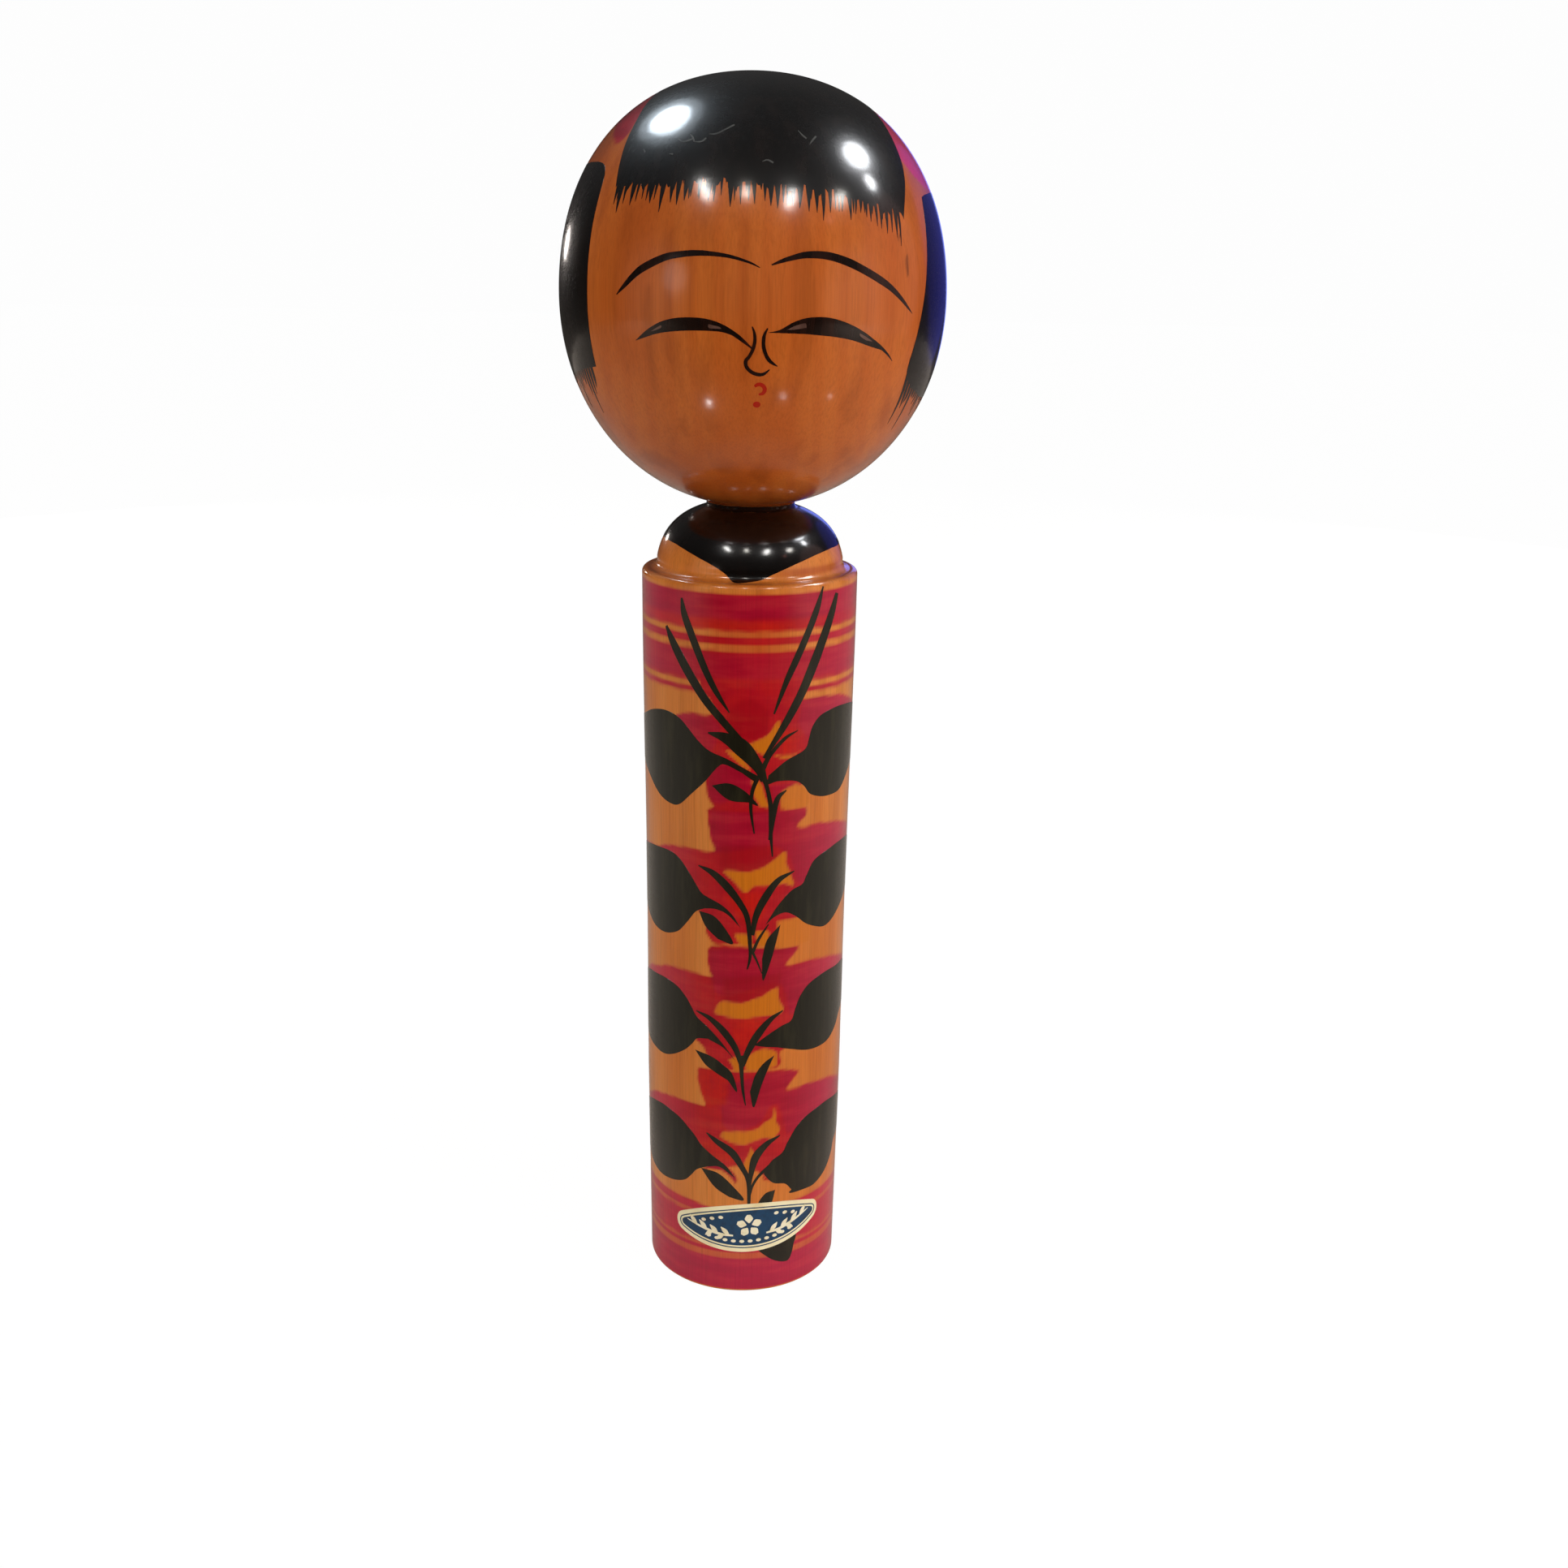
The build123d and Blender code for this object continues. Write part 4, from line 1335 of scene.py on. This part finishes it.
EYE = Vector((7.55, -409.1, 262.8)) * MM
LOOK = Vector((0.0044, 0.9541, -0.2993)).normalized()
HEAD_UP = Vector((-0.0175, 0.2994, 0.9540))
MIDDLE = Vector((0, 0, 0.15))   # of the doll, in metres
BACKDROP = 0.985                # brightness of the backdrop and the floor to the camera
GLOSS_LAMP_REACH = 1.3          # metres to a gloss lamp from the spot on the head that shows it
SMALL_LAMP_REACH = 0.25         # and to a small lamp
HALO_SIZE = 1.6                 # a halo's width over its lamp's
SPOT_CONE = math.radians(11)


def camera():
    """The camera of the photograph: its lens, its place and a slight roll."""
    data = bpy.data.cameras.new("camera")
    data.sensor_width = 36
    data.lens = 38.23
    data.clip_start = 0.02
    seen = bpy.data.objects.new("camera", data)
    right = LOOK.cross(HEAD_UP).normalized()
    up = right.cross(LOOK)
    turned = Matrix((right, up, -LOOK)).transposed().to_4x4()
    seen.matrix_world = Matrix.Translation(EYE) @ turned
    bpy.context.scene.collection.objects.link(seen)
    bpy.context.scene.camera = seen


def lamp(name, place, aim, size, brightness, colour, in_gloss, upright=UPRIGHT):
    """A soft oval lamp. brightness is how bright its face looks."""
    data = bpy.data.lights.new(name, "AREA")
    data.shape = "ELLIPSE"
    data.size, data.size_y = size
    data.energy = brightness * math.pi * size[0] * size[1] * math.pi / 4
    data.color = colour
    hang(name, data, place, aim, in_gloss, upright)


def small_spot(name, place, aim, radius, brightness):
    """A small round lamp that shows only in a narrow cone round its aim."""
    data = bpy.data.lights.new(name, "SPOT")
    data.shadow_soft_size = radius
    data.energy = brightness * 4 * math.pi**2 * radius**2
    data.spot_size = SPOT_CONE
    data.spot_blend = 0.6
    hang(name, data, place, aim, True)


def hang(name, data, place, aim, in_gloss, upright=UPRIGHT):
    """Puts a lamp in its place, turned to its aim, hidden from the camera.

    in_gloss lamps only show in the gloss, and the others only light what they fall on.
    """
    piece = bpy.data.objects.new(name, data)
    back = (place - aim).normalized()
    across = upright.cross(back).normalized()
    turned = Matrix((across, back.cross(across), back)).transposed().to_4x4()
    piece.matrix_world = Matrix.Translation(place) @ turned
    piece.visible_camera = False
    piece.visible_glossy = in_gloss
    piece.visible_diffuse = not in_gloss
    bpy.context.scene.collection.objects.link(piece)


def seen_in_head(degrees, above, far):
    """A place on the head, the way out of it, and what the camera sees mirrored there, far off."""
    angle, along = on_head(np.array([[degrees * DEGREE, above]]))
    spot = Vector(head_surface.at(angle, along)[0] * MM)
    outward = Vector(head_surface.normal(angle, along)[0])
    towards = (spot - EYE).normalized()
    return spot, outward, spot + far * (towards - 2 * towards.dot(outward) * outward)


GLOSS_LAMPS = [     # name, degrees round, mm above, size in metres, brightness, halo, colour
    ("window", -33, 41, (0.34, 0.58), 20, 0.08, (0.78, 0.9, 1.0)),
    ("second_window", 36, 32.6, (0.28, 0.42), 24, 0.06, (0.93, 0.96, 1.0)),
    ("second_window_foot", 38.6, 26.4, (0.15, 0.13), 38, 0.03, (0.95, 0.97, 1.0)),
    ("ceiling_1", -13.4, 23.7, (0.11, 0.29), 36, 0.02, (1.0, 0.98, 0.95)),
    ("ceiling_2", -1.3, 23.3, (0.07, 0.18), 34, 0.02, (1.0, 0.96, 0.88)),
    ("ceiling_3", 11.4, 22.2, (0.13, 0.24), 36, 0.02, (1.0, 0.98, 0.95)),
    ("ceiling_4", 26.5, 22.4, (0.11, 0.19), 28, 0.02, (1.0, 0.96, 0.9)),
    ("red_sign", 22.6, 18, (0.06, 0.08), 5, 0, (1.0, 0.4, 0.35)),
    ("glow", -20.4, 5.8, (0.24, 0.34), 1.5, 0, (1.0, 0.88, 0.82)),
    ("left_wall", -69.5, 12.5, (0.09, 0.16), 13, 0, (1.0, 0.9, 0.84)),
    ("left_low", -67, -19, (0.12, 0.05), 8, 0, (1.0, 0.95, 0.9)),
    ("right_room", 43, 8, (1.2, 1.1), 0.42, 0, (1.0, 0.62, 0.56)),
    ("blue_room", 68, 14, (0.9, 0.9), 0.32, 0, (0.08, 0.1, 1.0)),
    ("blue_window", 82, 18, (0.4, 0.3), 1.6, 0, (0.2, 0.26, 1.0)),
]
SMALL_LAMPS = [     # name, degrees round, mm above, radius in metres, brightness
    ("low_left", -12, -20.7, 0.0032, 130),
    ("low_right", 10.3, -19, 0.0028, 60),
    ("low_far", 25, -19, 0.0024, 30),
]
ROOM_LAMPS = [      # name, place, size in metres, brightness, colour
    ("above", (0.0, -0.1, 1.5), (1.3, 1.3), 0.7, (1.0, 0.97, 0.95)),
    ("front", (0.2, -1.25, 0.05), (1.6, 1.4), 0.68, (1.0, 0.97, 0.93)),
    ("left_side", (-1.2, -0.75, 0.2), (1.0, 1.0), 4.8, (1.0, 0.95, 0.88)),
    ("right_side", (1.25, -0.7, 0.2), (1.0, 1.0), 8.2, (1.0, 0.93, 0.9)),
    ("back_left", (-0.9, 1.05, 0.45), (1.2, 1.2), 1.5, (1.0, 0.97, 0.94)),
    ("back_right", (0.9, 1.05, 0.45), (1.2, 1.2), 1.5, (1.0, 0.97, 0.94)),
]


def lights():
    """Lamps that show in the gloss, and soft room light that doesn't."""
    for name, degrees, above, size, brightness, halo, colour in GLOSS_LAMPS:
        spot, outward, place = seen_in_head(degrees, above, GLOSS_LAMP_REACH)
        lamp(name, place, spot, size, brightness, colour, True, outward)
        if halo:
            wide = (HALO_SIZE * size[0], HALO_SIZE * size[1])
            lamp(name + "_halo", place, spot, wide, halo * brightness, colour, True, outward)
    for name, degrees, above, radius, brightness in SMALL_LAMPS:
        spot, _, place = seen_in_head(degrees, above, SMALL_LAMP_REACH)
        small_spot(name, place, spot, radius, brightness)
    for name, place, size, brightness, colour in ROOM_LAMPS:
        lamp(name, Vector(place), MIDDLE, size, brightness, colour, False)


def surroundings():
    """A pale backdrop to the camera, and a dim room to everything else."""
    world = bpy.data.worlds.new("studio")
    bpy.context.scene.world = world
    world.use_nodes = True
    tree = world.node_tree
    tree.nodes.clear()
    coordinates = tree.nodes.new("ShaderNodeTexCoord")
    split = tree.nodes.new("ShaderNodeSeparateXYZ")
    ramp = tree.nodes.new("ShaderNodeValToRGB")
    stops = ramp.color_ramp.elements
    stops[0].position, stops[0].color = 0.0, (0.016, 0.013, 0.012, 1)
    stops[1].position, stops[1].color = 1.0, (0.09, 0.09, 0.09, 1)
    room = tree.nodes.new("ShaderNodeBackground")
    backdrop = tree.nodes.new("ShaderNodeBackground")
    backdrop.inputs["Color"].default_value = (BACKDROP, BACKDROP, BACKDROP, 1)
    path = tree.nodes.new("ShaderNodeLightPath")
    choose = tree.nodes.new("ShaderNodeMixShader")
    out = tree.nodes.new("ShaderNodeOutputWorld")
    for output, socket in (
        (coordinates.outputs["Generated"], split.inputs[0]),
        (split.outputs["Z"], ramp.inputs["Fac"]),
        (ramp.outputs["Color"], room.inputs["Color"]),
        (path.outputs["Is Camera Ray"], choose.inputs[0]),
        (room.outputs[0], choose.inputs[1]),
        (backdrop.outputs[0], choose.inputs[2]),
        (choose.outputs[0], out.inputs[0]),
    ):
        tree.links.new(output, socket)


def floor():
    """A wide floor, plain and pale to the camera.

    In the doll's gloss it is a cloth: pale close to the foot, beside and behind the doll, and
    dark in front of it.
    """
    reach = 8.0     # metres
    corners = [(-reach, -reach, 0), (reach, -reach, 0), (reach, reach, 0), (-reach, reach, 0)]
    piece = link("floor", np.array(corners) / MM, [(0, 1, 2, 3)])
    make = Recipe("floor")
    make.finish(Base_Color=srgb(58, 56, 55), Roughness=0.9, Specular_IOR_Level=0.0,
                Emission_Color=(1, 1, 1, 1), Emission_Strength=BACKDROP)
    split = make.add("ShaderNodeSeparateXYZ", {0: make.place})
    sideways = make.math("MULTIPLY", make.math("ABSOLUTE", split.outputs["X"]), 0.6)
    behind = make.math("MULTIPLY", split.outputs["Y"], 0.8)
    away = make.between(make.math("ADD", sideways, behind), -0.42, 0.2)
    apart = make.add("ShaderNodeVectorMath", {0: make.place}, operation="LENGTH").outputs["Value"]
    near = make.between(apart, 0.05, 0.2, 0.9, 0.0)
    away = make.math("MULTIPLY", away, make.between(apart, 0.3, 0.9, 0.72, 0.4))
    bright = make.math("MAXIMUM", away, near)
    tone = make.mix(bright, srgb(62, 44, 32), srgb(236, 228, 218))
    cloth = make.add("ShaderNodeBsdfDiffuse", {"Color": tone})
    path = make.add("ShaderNodeLightPath")
    choose = make.add("ShaderNodeMixShader", {0: path.outputs["Is Camera Ray"], 1: cloth.outputs[0],
                      2: make.shader.outputs[0]})
    make.tree.links.new(choose.outputs[0], make.tree.nodes["Material Output"].inputs["Surface"])
    piece.data.materials.append(make.material)


camera()
lights()
surroundings()
floor()
build_body()
build_label()
build_head()

scene = bpy.context.scene
scene.view_settings.view_transform = "Standard"
